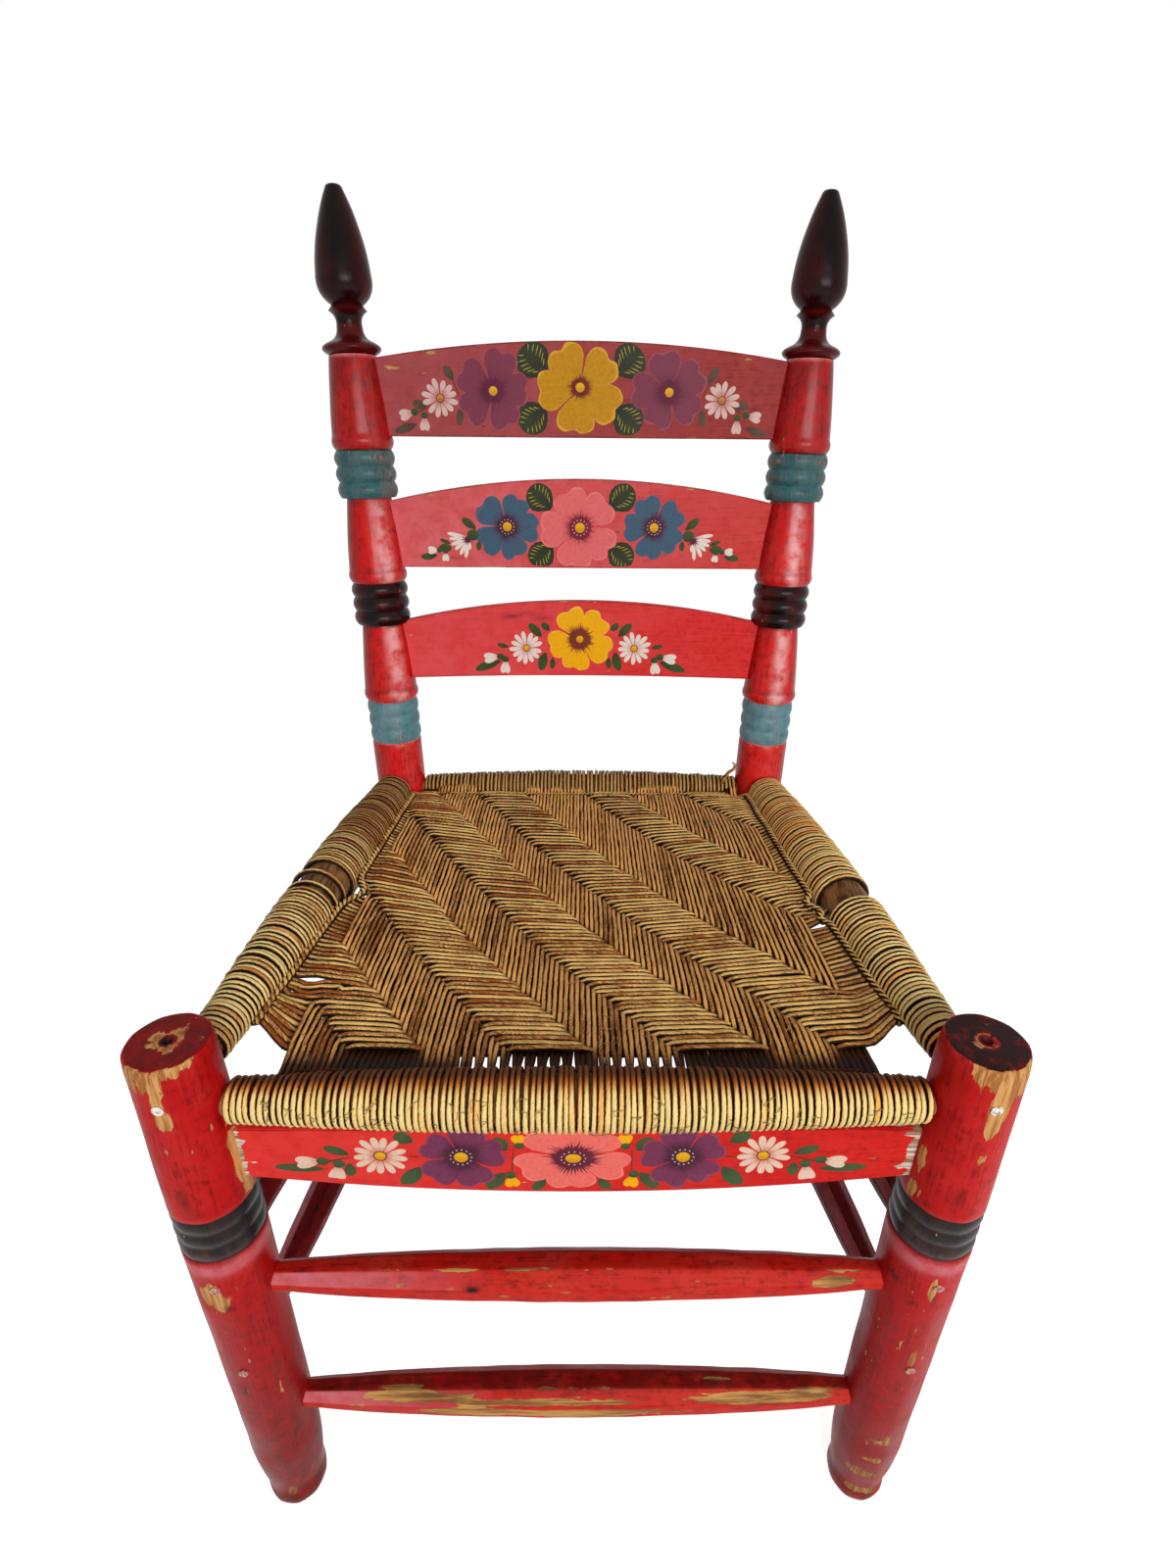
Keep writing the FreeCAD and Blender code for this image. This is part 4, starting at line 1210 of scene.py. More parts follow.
def paint_petal(bm, x, z, angle, span, reach, notch, layer, paint, squash=1.0):
    """A broad two-lobed petal that fans out from a flower's middle."""
    seed = hand.uniform(0, 90)
    outline = []
    for index in range(19):
        place = index / 9 - 1
        out = reach * (1 - 0.3 * abs(place) ** 5) * (1 - notch * math.exp(-(place / 0.2) ** 2))
        out *= 1 + 0.06 * noise.noise(Vector((place * 2.2, seed, 0)))
        outline.append(turned_point(x, z, angle + span * place, out, squash))
    outline.append(turned_point(x, z, angle + span, reach * 0.12, squash))
    outline.append(turned_point(x, z, angle - span, reach * 0.12, squash))
    lay_stroke(bm, outline, (x, z), turned_point(x, z, angle, reach, squash), layer, paint)


def paint_drop(bm, root, tip, width, layer, paint, widest=0.7, sway=0.0):
    """A tapering stroke from root to tip, widest at a share of its length and rounded beyond."""
    root = Vector(root)
    tip = Vector(tip)
    way = tip - root
    side = Vector((-way.y, way.x)).normalized()
    parts = [0.5 - 0.5 * math.cos(math.pi * index / 9) for index in range(10)]
    bow = [(part, 1) for part in parts] + [(part, -1) for part in parts[-2:0:-1]]
    outline = []
    for part, hand_side in bow:
        if part > widest:
            half = width / 2 * math.sqrt(max(1 - ((part - widest) / (1 - widest)) ** 2, 0.0))
        else:
            half = width / 2 * (0.12 + 0.88 * math.sin(math.pi / 2 * part / widest))
        spot = root + way * part + side * (half * hand_side + sway * width * math.sin(math.pi * part))
        outline.append((spot.x, spot.y))
    lay_stroke(bm, outline, root, tip, layer, paint)


def paint_spot(bm, x, z, width, height, layer, paint):
    """A round or oval dot of a half width and a half height."""
    outline = [(x + width * math.cos(angle * math.pi / 6), z + height * math.sin(angle * math.pi / 6))
               for angle in range(12)]
    lay_stroke(bm, outline, (x, z - height), (x, z + height), layer, paint)


def paint_rays(bm, x, z, inner, outer, count, layer, paint, squash=1.0):
    """A ragged star of fine dark lines round a flower's middle."""
    outline = []
    for index in range(count):
        angle = 2 * math.pi * index / count
        outline.append(turned_point(x, z, angle, outer * hand.uniform(0.72, 1.2), squash))
        outline.append(turned_point(x, z, angle + math.pi / count, inner * hand.uniform(0.9, 1.1), squash))
    lay_stroke(bm, outline, (x, z), turned_point(x, z, 0.0, outer, squash), layer, paint)


PETAL_COUNT = 5
RAY_COUNT = 46
DOT_COUNT = 13


def paint_flower(bm, x, z, reach, start, shade, eye, squash=1.0, rays=0.5, dots=True):
    """Five broad petals, each with a lighter edge, dark rays, and a yellow middle with a ring of white dots."""
    for index in range(PETAL_COUNT):
        angle = math.radians(start + 360 / PETAL_COUNT * index + hand.uniform(-4, 4))
        long = reach * hand.uniform(0.95, 1.05)
        for layer, paint, size, span in ((1, shade + "_edge", 1.03, 35.5), (2, shade, 0.99, 34.5)):
            paint_petal(bm, x, z, angle, math.radians(span), long * size, 0.09, layer + 0.3 * (index % 2), paint,
                        squash)
    ray = shade + "_ray"
    paint_rays(bm, x, z, reach * rays * 0.66, reach * rays, RAY_COUNT, 3.2, ray, squash)
    paint_spot(bm, x, z, eye * 1.22, eye * 1.22 * squash, 4, ray)
    paint_spot(bm, x, z, eye, eye * squash, 5, "button")
    if dots:
        for index in range(DOT_COUNT):
            spot = turned_point(x, z, index * 2 * math.pi / DOT_COUNT, eye * 1.5, squash)
            paint_spot(bm, *spot, 0.42, 0.42, 5, "white")


def paint_daisy(bm, x, z, reach, count, shade, eye, middle):
    """Slender petals round a small middle."""
    for index in range(count):
        angle = 2 * math.pi * (index + hand.uniform(-0.12, 0.12)) / count + 0.3
        root = turned_point(x, z, angle, eye * 0.8)
        tip = turned_point(x, z, angle, reach * hand.uniform(0.9, 1.04))
        width = 2 * math.pi * reach * 0.75 / count * 0.74
        paint_drop(bm, root, tip, width, 1 + 0.3 * (index % 2), shade, 0.72)
    paint_spot(bm, x, z, eye * 1.25, eye * 1.25, 2.4, "stalk")
    paint_spot(bm, x, z, eye, eye, 3, middle)


def paint_leaf(bm, root, tip, width, green, veins):
    """A leaf, with pairs of yellow-green dashes for its veins where it is large."""
    paint_drop(bm, root, tip, width * 1.12, 0, green, 0.5, hand.uniform(-0.06, 0.06))
    root = Vector(root)
    way = Vector(tip) - root
    side = Vector((-way.y, way.x)).normalized()
    for index in range(veins):
        part = 0.22 + 0.6 * index / max(veins - 1, 1)
        half = width / 2 * math.sin(math.pi * part)
        for hand_side in (-1, 1):
            start = root + way * (part - 0.03) + side * half * 0.3 * hand_side
            end = root + way * (part + 0.1) + side * half * 0.86 * hand_side
            paint_drop(bm, start, end, 0.8, 1, "vein", 0.5)


def paint_bud(bm, root, tip, width, shade, green):
    """A bud of two or three short strokes in a green cup."""
    root = Vector(root)
    way = Vector(tip) - root
    side = Vector((-way.y, way.x)).normalized()
    for spread in (-0.28, 0.28):
        paint_drop(bm, root, root + way + side * width * spread, width * 0.6, 1 + spread, shade, 0.68)
    cup = root - way * 0.06
    paint_spot(bm, cup.x, cup.y, width * 0.36, width * 0.32, 2, green)


print("brush ready")

# %% [markdown]
# The sprays are nearly the same left and right, so each list holds one half and the brush then repeats it mirrored,
# never quite alike. Places are in millimetres, across from the chair's middle and up from the floor.

# %% Sprays of flowers
TOP_SPRAY = [
    (paint_leaf, (-28.5, 765.5), (-47.5, 783.5), 25, "leaf_dark", 6),
    (paint_leaf, (-28.5, 742), (-48.5, 725.5), 23, "leaf_dark", 6),
    (paint_leaf, (-101.5, 760), (-108.5, 770.5), 6, "leaf_dull", 0),
    (paint_leaf, (-97.3, 741), (-98.9, 728), 5, "leaf_dull", 0),
    (paint_leaf, (-124, 741.5), (-135, 744.5), 6, "leaf_dull", 0),
    (paint_leaf, (-133, 728.5), (-151, 722.5), 6, "leaf_dull", 0),
    (paint_drop, (-120, 742), (-137, 735), 1.0, 0, "stalk", 0.5),
    (paint_drop, (-97, 748), (-103, 762), 1.0, 0, "stalk", 0.5),
    (paint_flower, -70.5, 753, 28.5, 76, "mauve", 3.4, 1.0, 0.4, False),
    (paint_daisy, -112.8, 747.5, 14.5, 12, "rose_white", 2.8, "tan"),
    (paint_bud, (-134.5, 737.3), (-145.8, 734.3), 8.5, "rose_white", "leaf_green"),
    (paint_bud, (-126.2, 734.5), (-126.6, 723.8), 8, "rose_white", "leaf_green"),
]
MIDDLE_SPRAY = [
    (paint_leaf, (-25, 665), (-43, 682), 20.5, "leaf_dark", 6),
    (paint_leaf, (-25, 637), (-43, 620.5), 20.5, "leaf_dark", 6),
    (paint_leaf, (-89, 649), (-100.5, 657), 6, "leaf_green", 0),
    (paint_leaf, (-86.7, 639), (-87.4, 631), 4, "leaf_green", 0),
    (paint_leaf, (-123, 627), (-137, 625.4), 5, "leaf_green", 0),
    (paint_leaf, (-111, 636.5), (-120, 639.9), 3, "leaf_green", 0),
    (paint_drop, (-88, 645), (-93, 652), 1.0, 0, "stalk", 0.5),
    (paint_drop, (-113, 637), (-128, 629), 1.0, 0, "stalk", 0.5),
    (paint_flower, -62.5, 650.5, 26.5, 70, "blue", 3.8, 1.0, 0.44),
    (paint_drop, (-97, 642), (-113.5, 645), 3.1, 1, "white", 0.7),
    (paint_drop, (-97, 641.5), (-112, 640.5), 3.1, 1.3, "white", 0.7),
    (paint_drop, (-97, 641), (-110.5, 635.5), 3.2, 1, "white", 0.7),
    (paint_drop, (-96.8, 640.5), (-107.6, 631.6), 3.3, 1.3, "white", 0.7),
    (paint_drop, (-96.5, 640.3), (-103.4, 627.4), 3.3, 1, "white", 0.7),
    (paint_drop, (-96, 640.3), (-98.8, 624.8), 3.3, 1.3, "white", 0.7),
    (paint_drop, (-95.5, 640.4), (-95.4, 631.5), 3.6, 1, "white", 0.7),
    (paint_rays, -96.5, 639.8, 2.2, 5.6, 12, 2, "mauve_ray"),
    (paint_spot, -92, 643.6, 5, 4.6, 2, "leaf_green"),
    (paint_spot, -116, 633, 5.6, 3.4, 0, "leaf_green"),
    (paint_bud, (-121.5, 631.2), (-130.5, 631), 6.5, "white", "leaf_green"),
    (paint_bud, (-115.8, 629.6), (-116, 622), 6, "white", "leaf_green"),
]
BOTTOM_SPRAY = [
    (paint_leaf, (-34.7, 557.5), (-46, 569), 6.6, "leaf_green", 0),
    (paint_leaf, (-27.8, 563), (-34.5, 570), 5.4, "leaf_green", 0),
    (paint_leaf, (-31.5, 543.5), (-36, 527), 7.6, "leaf_green", 0),
    (paint_leaf, (-25.2, 538.6), (-26, 528.5), 4.6, "leaf_green", 0),
    (paint_leaf, (-64.5, 548.5), (-74.5, 550.5), 3.8, "leaf_green", 0),
    (paint_leaf, (-72, 535.5), (-95, 527.3), 7, "leaf_green", 0),
    (paint_daisy, -48.7, 547.3, 15, 13, "white", 2.7, "button"),
    (paint_bud, (-73, 539.5), (-86.8, 537.6), 9.5, "white", "leaf_green"),
    (paint_bud, (-67.8, 536.5), (-68.2, 524.4), 9, "white", "leaf_green"),
]
APRON_SPRAY = [
    (paint_leaf, (-93, 374), (-103, 380), 8, "leaf_green", 0),
    (paint_leaf, (-90, 353.7), (-102, 339.3), 9, "leaf_green", 0),
    (paint_leaf, (-41, 367), (-48, 377), 8, "leaf_green", 0),
    (paint_leaf, (-43, 349), (-53, 335.5), 8.5, "leaf_green", 0),
    (paint_leaf, (-24, 372.9), (-29.5, 379), 5.5, "leaf_green", 0),
    (paint_leaf, (-19.5, 343.2), (-26.5, 334.5), 6, "leaf_green", 0),
    (paint_leaf, (-130.5, 357), (-130.6, 346.4), 6, "leaf_green", 0),
    (paint_leaf, (-129.6, 364), (-143.5, 370), 6, "leaf_green", 0),
    (paint_leaf, (-145, 352), (-173, 354.2), 6, "leaf_green", 0),
    (paint_bud, (-33.9, 371.6), (-34.4, 379.5), 8, "yellow", "leaf_green"),
    (paint_bud, (-39.4, 346.4), (-38, 337.2), 9, "yellow", "leaf_green"),
    (paint_flower, -66.8, 362, 24.5, 78, "plum", 4.0, 1.0, 0.46),
    (paint_daisy, -112.2, 363, 16, 13, "cream", 3.2, "button"),
    (paint_drop, (-90, 362), (-96, 362.5), 1.1, 0, "stalk", 0.5),
    (paint_drop, (-127, 362), (-146, 358), 1.1, 0, "stalk", 0.5),
    (paint_drop, (-134, 360), (-160, 353), 1.0, 0, "stalk", 0.5),
    (paint_drop, (-37, 369), (-38.6, 347), 1.1, 0, "stalk", 0.5),
    (paint_bud, (-146, 358.6), (-160.3, 357.4), 10, "cream", "leaf_green"),
    (paint_bud, (-136.4, 355.6), (-139.5, 342.3), 10, "cream", "leaf_green"),
]
SPRAYS = {
    "slat_top": (TOP_SPRAY, (-1.4, 756.0, 33.8, 116, "ochre", 3.6, 0.97, 0.3, False)),
    "slat_middle": (MIDDLE_SPRAY, (-1.2, 650, 32, 112, "salmon", 4.2, 0.98, 0.42)),
    "slat_bottom": (BOTTOM_SPRAY, (-0.9, 555.5, 28.5, 118, "yellow", 3.2, 1.0, 0.48, False)),
    "front_apron": (APRON_SPRAY, (-3.4, 361, 33, 126, "pink", 4.6, 0.78, 0.5)),
}

APRON_OUTLINE = (APRON_TOP - APRON_END, APRON_END, 0.0, APRON_END - APRON_MIDDLE)
FLOWER_HALF = 166.0
EDGE_LEFT = 0.8


def mirrored(value, middle):
    """The same brush mark on the right half, a little off."""
    if isinstance(value, tuple) and len(value) == 2:
        return (2 * middle - value[0] + hand.uniform(-0.8, 0.8), value[1] + hand.uniform(-0.8, 0.8))
    return value


for name, (spray, middle) in SPRAYS.items():
    bm = new_strokes()
    fold = -4.0 if name == "front_apron" else -0.5
    for brush, first, *rest in spray:
        brush(bm, first, *rest)
        if isinstance(first, tuple):
            brush(bm, mirrored(first, fold), *[mirrored(value, fold) for value in rest])
        elif brush is paint_flower:
            brush(bm, 2 * fold - first, rest[0], rest[1], 180 - rest[2], *rest[3:])
        else:
            brush(bm, 2 * fold - first, *rest)
    paint_flower(bm, *middle)
    leaning = name != "front_apron"
    face = -SLAT_THICKNESS / 2 if leaning else APRON_FRONT
    lowest, end_height, rise, foot_rise = SLATS[name] if leaning else APRON_OUTLINE
    over = arch(FLOWER_HALF, rise)
    under = arch(FLOWER_HALF, foot_rise)
    for vert in bm.verts:
        x, y, z = vert.co
        low = lowest + under(x) + EDGE_LEFT
        high = lowest + end_height + over(x) - EDGE_LEFT
        z = low - (low - z) * 0.1 if z < low else high + (z - high) * 0.1 if z > high else z
        z = z / math.cos(SLAT_LEAN) if leaning else z
        vert.co = Vector((x, face + y + board_wave(x, face, z), z)) * MM
    bmesh.ops.recalc_face_normals(bm, faces=bm.faces)
    if leaning:
        bm.transform(slat_frame())
    sharpened(bm, 30)
    finish_piece(bm, name + "_flowers", list(palette.values()), [])

# %% [markdown]
# ## Rails and nails
# The round rails show only where the cord has worn away, and the nails only as small bright heads. Their packed
# shapes are right, so they stay and get a material. It reads Object coordinates, since these shapes carry no
# attributes of their own.

# %% Rails and nails
rail_wood, tree, shader = new_material("rail_wood", tone(140, 88, 44), Roughness=0.6, Specular_IOR_Level=0.15)
place = add_node(tree, "TexCoord").outputs["Object"]
timber = placed(tree, wood_grain, Grain=stretched(tree, place, (1.0, 0.1, 1.0)), Wood=tone(158, 112, 66),
                **{"Late wood": tone(88, 54, 28)})
feed(tree, shader["Base Color"], timber["Color"])
feed(tree, shader["Normal"], bumped(tree, timber["Height"], 0.0004))

steel, tree, shader = new_material("nail_steel", tone(190, 186, 180), Metallic=0.9)
place = add_node(tree, "TexCoord").outputs["Object"]
tarnish = cloudy(tree, place, 700.0, 3.0)
spots = between(tree, tarnish, 0.45, 0.7)
bright = mixed(tree, spots, tone(214, 208, 200), tone(120, 96, 78))
height = add_node(tree, "SeparateXYZ")
feed(tree, height.inputs[0], place)
painted = mixed(tree, between(tree, tarnish, 0.48, 0.54), tone(150, 40, 32), tone(206, 168, 140))
feed(tree, shader["Base Color"], mixed(tree, between(tree, height.outputs[2], 0.33, 0.35), painted, bright))
feed(tree, shader["Metallic"], between(tree, height.outputs[2], 0.33, 0.35, 0.0, 0.9))
feed(tree, shader["Roughness"], between(tree, tarnish, 0.3, 0.7, 0.32, 0.6))
feed(tree, shader["Normal"], bumped(tree, tarnish, 0.0002))


def dress(node, material):
    """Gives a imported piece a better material."""
    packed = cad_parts[node]
    packed.data.materials.clear()
    packed.data.materials.append(material)
    print(node, "gets", material.name)


for rail in ("seat_rail_front", "seat_rail_back", "seat_rail_left", "seat_rail_right"):
    dress(rail, rail_wood)
dress("tenon_nails", steel)

# %% [markdown]
# ## Cord
# The seat is one long cord of twisted straw, nearly four millimetres thick. Its tops are golden, and the crevices
# between cords are almost black, as dust and painted shade. So the colour follows the way round the cord, as painted
# light and shade: light on its upper side and dark below, with fine fibres running along it. Each stretch has its own
# tint, because no two lengths of straw match.

# %% Cord material
straw, cord_in, cord_out = node_group(
    "straw", [("Along", "Float", 0.0), ("Around", "Float", 0.0), ("Tint", "Float", 0.5), ("Shade", "Float", 1.0),
              ("Light", "Color", None), ("Dark", "Color", None), ("Amber", "Color", None), ("Soot", "Color", None)],
    [("Color", "Color"), ("Height", "Float")])
place = add_node(straw, "CombineXYZ")
turning = calculate(straw, "MULTIPLY_ADD", cord_in["Along"], 22.0, cord_in["Around"])
feed(straw, place.inputs[0], calculate(straw, "MULTIPLY", cord_in["Along"], 46.0))
feed(straw, place.inputs[1], calculate(straw, "MULTIPLY", turning, 9.0))
feed(straw, place.inputs[2], calculate(straw, "MULTIPLY", cord_in["Tint"], 40.0))
fibres = cloudy(straw, place.outputs[0], 2.2, 3.0, 0.7)
plies = calculate(straw, "SINE", calculate(straw, "MULTIPLY", turning, 4 * math.pi))
tuft = calculate(straw, "MULTIPLY_ADD", fibres, 1.5, calculate(straw, "MULTIPLY", cord_in["Tint"], 0.8))
tuft = calculate(straw, "MULTIPLY_ADD", plies, 0.06, tuft)
bright = mixed(straw, between(straw, tuft, 0.82, 1.24), cord_in["Dark"], cord_in["Light"])
# Painted light and shade round the cord: light on its upper side, dark below and in the crevices
facing = calculate(straw, "COSINE", calculate(straw, "MULTIPLY", cord_in["Around"], 2 * math.pi))
ragged = calculate(straw, "MULTIPLY_ADD", fibres, 0.5, calculate(straw, "MULTIPLY", facing, -1.0))
facing = between(straw, ragged, 0.76, 1.22)
lit_share = calculate(straw, "MULTIPLY", facing, cord_in["Shade"])
body = mixed(straw, between(straw, lit_share, 0.3, 0.84), cord_in["Amber"], bright)
feed(straw, cord_out["Color"], mixed(straw, between(straw, lit_share, 0.02, 0.5), cord_in["Soot"], body))
feed(straw, cord_out["Height"], calculate(straw, "MULTIPLY_ADD", plies, 0.45, fibres))


def cord_material(name, light, dark, amber, soot_and_shade, gloss=0.5):
    """Straw cord of one tone, from its painted light on the upper side to painted shade and dust below."""
    material, tree, shader = new_material(name, light, Specular_IOR_Level=0.16)
    around = add_node(tree, "SeparateXYZ")
    feed(tree, around.inputs[0], add_node(tree, "UVMap", uv_map="around").outputs[0])
    kept = add_node(tree, "SeparateXYZ")
    feed(tree, kept.inputs[0], attribute(tree, "cord", "Vector"))
    fibre = placed(tree, straw, Along=kept.outputs[0], Around=around.outputs[1], Tint=kept.outputs[1],
                   Shade=kept.outputs[2], Light=light, Dark=dark, Amber=amber, Soot=soot_and_shade)
    feed(tree, shader["Base Color"], fibre["Color"])
    feed(tree, shader["Roughness"], between(tree, fibre["Height"], 0.1, 0.9, gloss + 0.15, gloss - 0.1))
    feed(tree, shader["Normal"], bumped(tree, fibre["Height"], 0.0007, 0.7))
    return material


SOOT_AND_SHADE = tone(26, 9, 1)
# Copies of one straw: golden as it is, two brighter ones as painted light on the side and front rolls, and a darker
# brown as painted shade on the lengthwise cords
golden = cord_material("golden_cord", tone(255, 208, 124), tone(164, 86, 26), tone(104, 48, 8), SOOT_AND_SHADE)
lit_straw = cord_material("lit_straw_cord", tone(255, 224, 148), tone(208, 136, 62), tone(134, 72, 20), SOOT_AND_SHADE, 0.46)
pale = cord_material("pale_cord", tone(255, 230, 152), tone(255, 180, 84), tone(210, 114, 34), SOOT_AND_SHADE, 0.42)
brown = cord_material("brown_cord", tone(255, 188, 108), tone(144, 84, 28), tone(92, 46, 8), SOOT_AND_SHADE)
print("cord materials", golden.name, pale.name, brown.name)

# %% Laying a cord
CORD = 3.8
CORD_SIDES = 6
SEAM_REACH = 0.0000001
chance = random.Random(11)


def new_cords():
    """An empty mesh that keeps, for each point, the length along its cord, the cord's tint and its shade."""
    bm = bmesh.new()
    bm.loops.layers.uv.new("around")
    bm.verts.layers.float_vector.new("cord")
    return bm


def lay_cord(bm, points, ups, across, deep, tint, shades):
    """Adds one closed cord through points in millimetres, lying flat against the given up directions."""
    count = len(points) - 1
    grid = bmesh.ops.create_grid(bm, x_segments=count, y_segments=CORD_SIDES, size=1.0, calc_uvs=True)["verts"]
    kept = bm.verts.layers.float_vector["cord"]
    rings = []
    length = 0.0
    for index, point in enumerate(points):
        before = points[max(index - 1, 0)]
        way = (points[min(index + 1, count)] - before).normalized()
        length += (point - before).length if index else 0.0
        side = way.cross(ups[index]).normalized()
        rings.append((point, side * across[index], side.cross(way) * deep[index], length, shades[index]))
    for vert in grid:
        point, side, up, along, shade = rings[round((vert.co.x + 1) / 2 * count)]
        angle = math.pi * (vert.co.y + 1)
        vert.co = (point + side * math.sin(angle) - up * math.cos(angle)) * MM
        vert[kept] = (along * MM, tint, shade)


def finish_cords(bm, name, materials, nodes):
    """Joins the seams of all cords, closes their ends and makes them one piece."""
    bmesh.ops.remove_doubles(bm, verts=bm.verts, dist=SEAM_REACH)
    bmesh.ops.holes_fill(bm, edges=[edge for edge in bm.edges if edge.is_boundary], sides=0)
    bmesh.ops.recalc_face_normals(bm, faces=bm.faces)
    return finish_piece(bm, name, materials, nodes)


print("cord helper ready")

# %% [markdown]
# ## Rolls of cord round the rails
# The cord is wound tightly round each rail, one turn beside the next. Each roll is one unbroken helix over the
# swelling rail. Its step to the next turn is hidden underneath, as a weaver keeps it. On each side rail a stretch
# has worn bare, with a few single turns left across it.

# %% Rolls
WINDING_STEPS = 22
HALF_CORD = CORD / 2
TENON_RADIUS = 8.3
SIDE_RADIUS = 17.5
FRONT_RADIUS = 13.9
BACK_RADIUS = 13.2
SIDE_SHARES = (0.08, 0.34, 0.66, 0.87, 0.98, 1.0, 0.93, 0.77, 0.52)
END_SHARES = (0.04, 0.42, 0.74, 0.93, 1.0, 0.93, 0.74, 0.42, 0.04)
CORD_SEAT = 0.15


def share_at(shares, place):
    """A value between evenly spaced shares at a place from 0 to 1."""
    spot = min(max(place, 0.0), 1.0) * (len(shares) - 1)
    index = min(int(spot), len(shares) - 2)
    return shares[index] + (shares[index + 1] - shares[index]) * (spot - index)


def roll_places(low, high, turns, bare=None, singles=()):
    """Where each turn lies along the rail, in millimetres, leaving a bare stretch with single turns across it."""
    if not bare:
        return [low + (high - low) * (index + 0.5) / turns for index in range(turns)]
    first = round(turns * (bare[0] - low) / (high - low))
    last = round(turns * (high - bare[1]) / (high - low))
    before = [low + (bare[0] - low) * (index + 0.5) / first for index in range(first)]
    after = [bare[1] + (high - bare[1]) * (index + 0.5) / last for index in range(last)]
    return before + list(singles) + after


def wind(bm, start, end, low, high, middle_radius, shares, places, shade_at, tint, loose=1.0):
    """Winds one unbroken cord round a rail from start to end, turn by turn, looser or tighter."""
    way = (end - start).normalized()
    up = (Vector((0, 0, 1)) - way * way.z).normalized()
    out = way.cross(up)
    points, ups, across, deep, shades = [], [], [], [], []
    for index, place in enumerate(places):
        following = places[min(index + 1, len(places) - 1)]
        lift = chance.uniform(-0.25, 0.6) * loose
        shift = chance.uniform(-0.6, 0.6) * loose + 0.8 * noise.noise(Vector((place / 17, 4, 8)))
        thick = chance.uniform(0.84, 1.08)
        for step in range(WINDING_STEPS):
            part = step / WINDING_STEPS
            jog = min(max((part - 0.8) / 0.2, 0.0), 1.0)
            jog = 0.15 * part + 0.85 * jog * jog * (3 - 2 * jog)
            along = place + (following - place) * jog + shift * math.sin(math.pi * part)
            turn = 2 * math.pi * part + 0.2 * math.pi
            radial = out * math.sin(turn) - up * math.cos(turn)
            wood = TENON_RADIUS + (middle_radius - TENON_RADIUS) * share_at(shares, (along - low) / (high - low))
            reach = wood + CORD_SEAT + HALF_CORD + lift * math.sin(math.pi * part) ** 2
            points.append(start + way * along + radial * reach)
            ups.append(radial)
            knobbly = thick + 0.12 * noise.noise(Vector((turn * 1.4, index, 3)))
            across.append(HALF_CORD * 0.98 * knobbly)
            deep.append(HALF_CORD * knobbly)
            shades.append(shade_at(turn, along))
    lay_cord(bm, points, ups, across, deep, tint, shades)


def vary_tints(bm, length, amount):
    """Lets the tint of a long cord change from turn to turn."""
    kept = bm.verts.layers.float_vector["cord"]
    for vert in bm.verts:
        along, tint, shade = vert[kept]
        change = noise.noise(Vector((along / length, 3.7, 1.1)))
        vert[kept] = (along, min(max(tint + change * amount, 0.0), 1.0), shade)


def front_shade(turn, along):
    """Painted light and shade, with dust: bright in front and below, brown on top, dark behind."""
    degrees = math.degrees(turn) % 360
    edge = 118 + 9 * noise.noise(Vector((along / 3, 2, 7)))
    return 1.5 - 1.3 * min(max((degrees - edge) / 62, 0.0), 1.0) ** 0.7


DARKENING_LENGTH = 270


def side_shade(turn, along):
    """Brighter at the front, darker towards the rear."""
    return 1.4 - 0.92 * min(max(along / DARKENING_LENGTH, 0.0), 1.0) + 0.16 * noise.noise(Vector((along / 9, 1, 2)))


def right_shade(turn, along):
    """The right roll is a little brighter, more so towards the rear."""
    return side_shade(turn, along) + 0.04 + 0.12 * min(max(along / DARKENING_LENGTH, 0.0), 1.0)


def back_shade(turn, along):
    """Evenly darker."""
    return 0.58


FRONT_RAIL_Z = 402.4
BACK_RAIL_Z = 410.5
SIDE_RAIL_Z = 416.0
left_start, leg_reach = upright_axis("front_leg_left", SIDE_RAIL_Z)
left_end, post_reach = upright_axis("rear_post_left", SIDE_RAIL_Z)
side_length = (left_end - left_start).length / MM
front_half = LEG_FOOT_X + (LEG_TOP_X - LEG_FOOT_X) * FRONT_RAIL_Z / LEG_HEIGHT
back_place = post_end(1, BACK_RAIL_Z) / MM
for name, half, y, z, gap, radius, turns, shade, straw_kind in (
        ("seat_wrap_front", front_half, FRONT_Y, FRONT_RAIL_Z, 24.7, FRONT_RADIUS, 105, front_shade, pale),
        ("seat_wrap_back", back_place.x, back_place.y, BACK_RAIL_Z, 22.6, BACK_RADIUS, 81, back_shade, golden)):
    bm = new_cords()
    start = Vector((-half, y, z))
    places = roll_places(gap, 2 * half - gap, turns)
    wind(bm, start, Vector((half, y, z)), gap, 2 * half - gap, radius, END_SHARES, places, shade, 0.62)
    vary_tints(bm, 0.09, 0.6)
    finish_cords(bm, name + "_cord", [straw_kind], [name])

SIDE_TURNS = 89
BAYS = {"left": ((160.0, 194.0), (166.0, 179.0)), "right": ((150.0, 173.0), ())}
for side, (bare, singles) in BAYS.items():
    bm = new_cords()
    start = Vector(upright_axis("front_leg_" + side, SIDE_RAIL_Z)[0]) / MM
    end = Vector(upright_axis("rear_post_" + side, SIDE_RAIL_Z)[0]) / MM
    low = leg_reach + 0.6
    high = side_length - post_reach - 0.8
    places = roll_places(low, high, SIDE_TURNS, bare, singles)
    shade, straw_kind = (side_shade, lit_straw) if side == "left" else (right_shade, pale)
    wind(bm, start, end, low, high, SIDE_RADIUS, SIDE_SHARES, places, shade, 0.55, 1.25)
    vary_tints(bm, 0.11, 1.0)
    finish_cords(bm, "seat_wrap_" + side + "_cord", [straw_kind], ["seat_wrap_" + side])

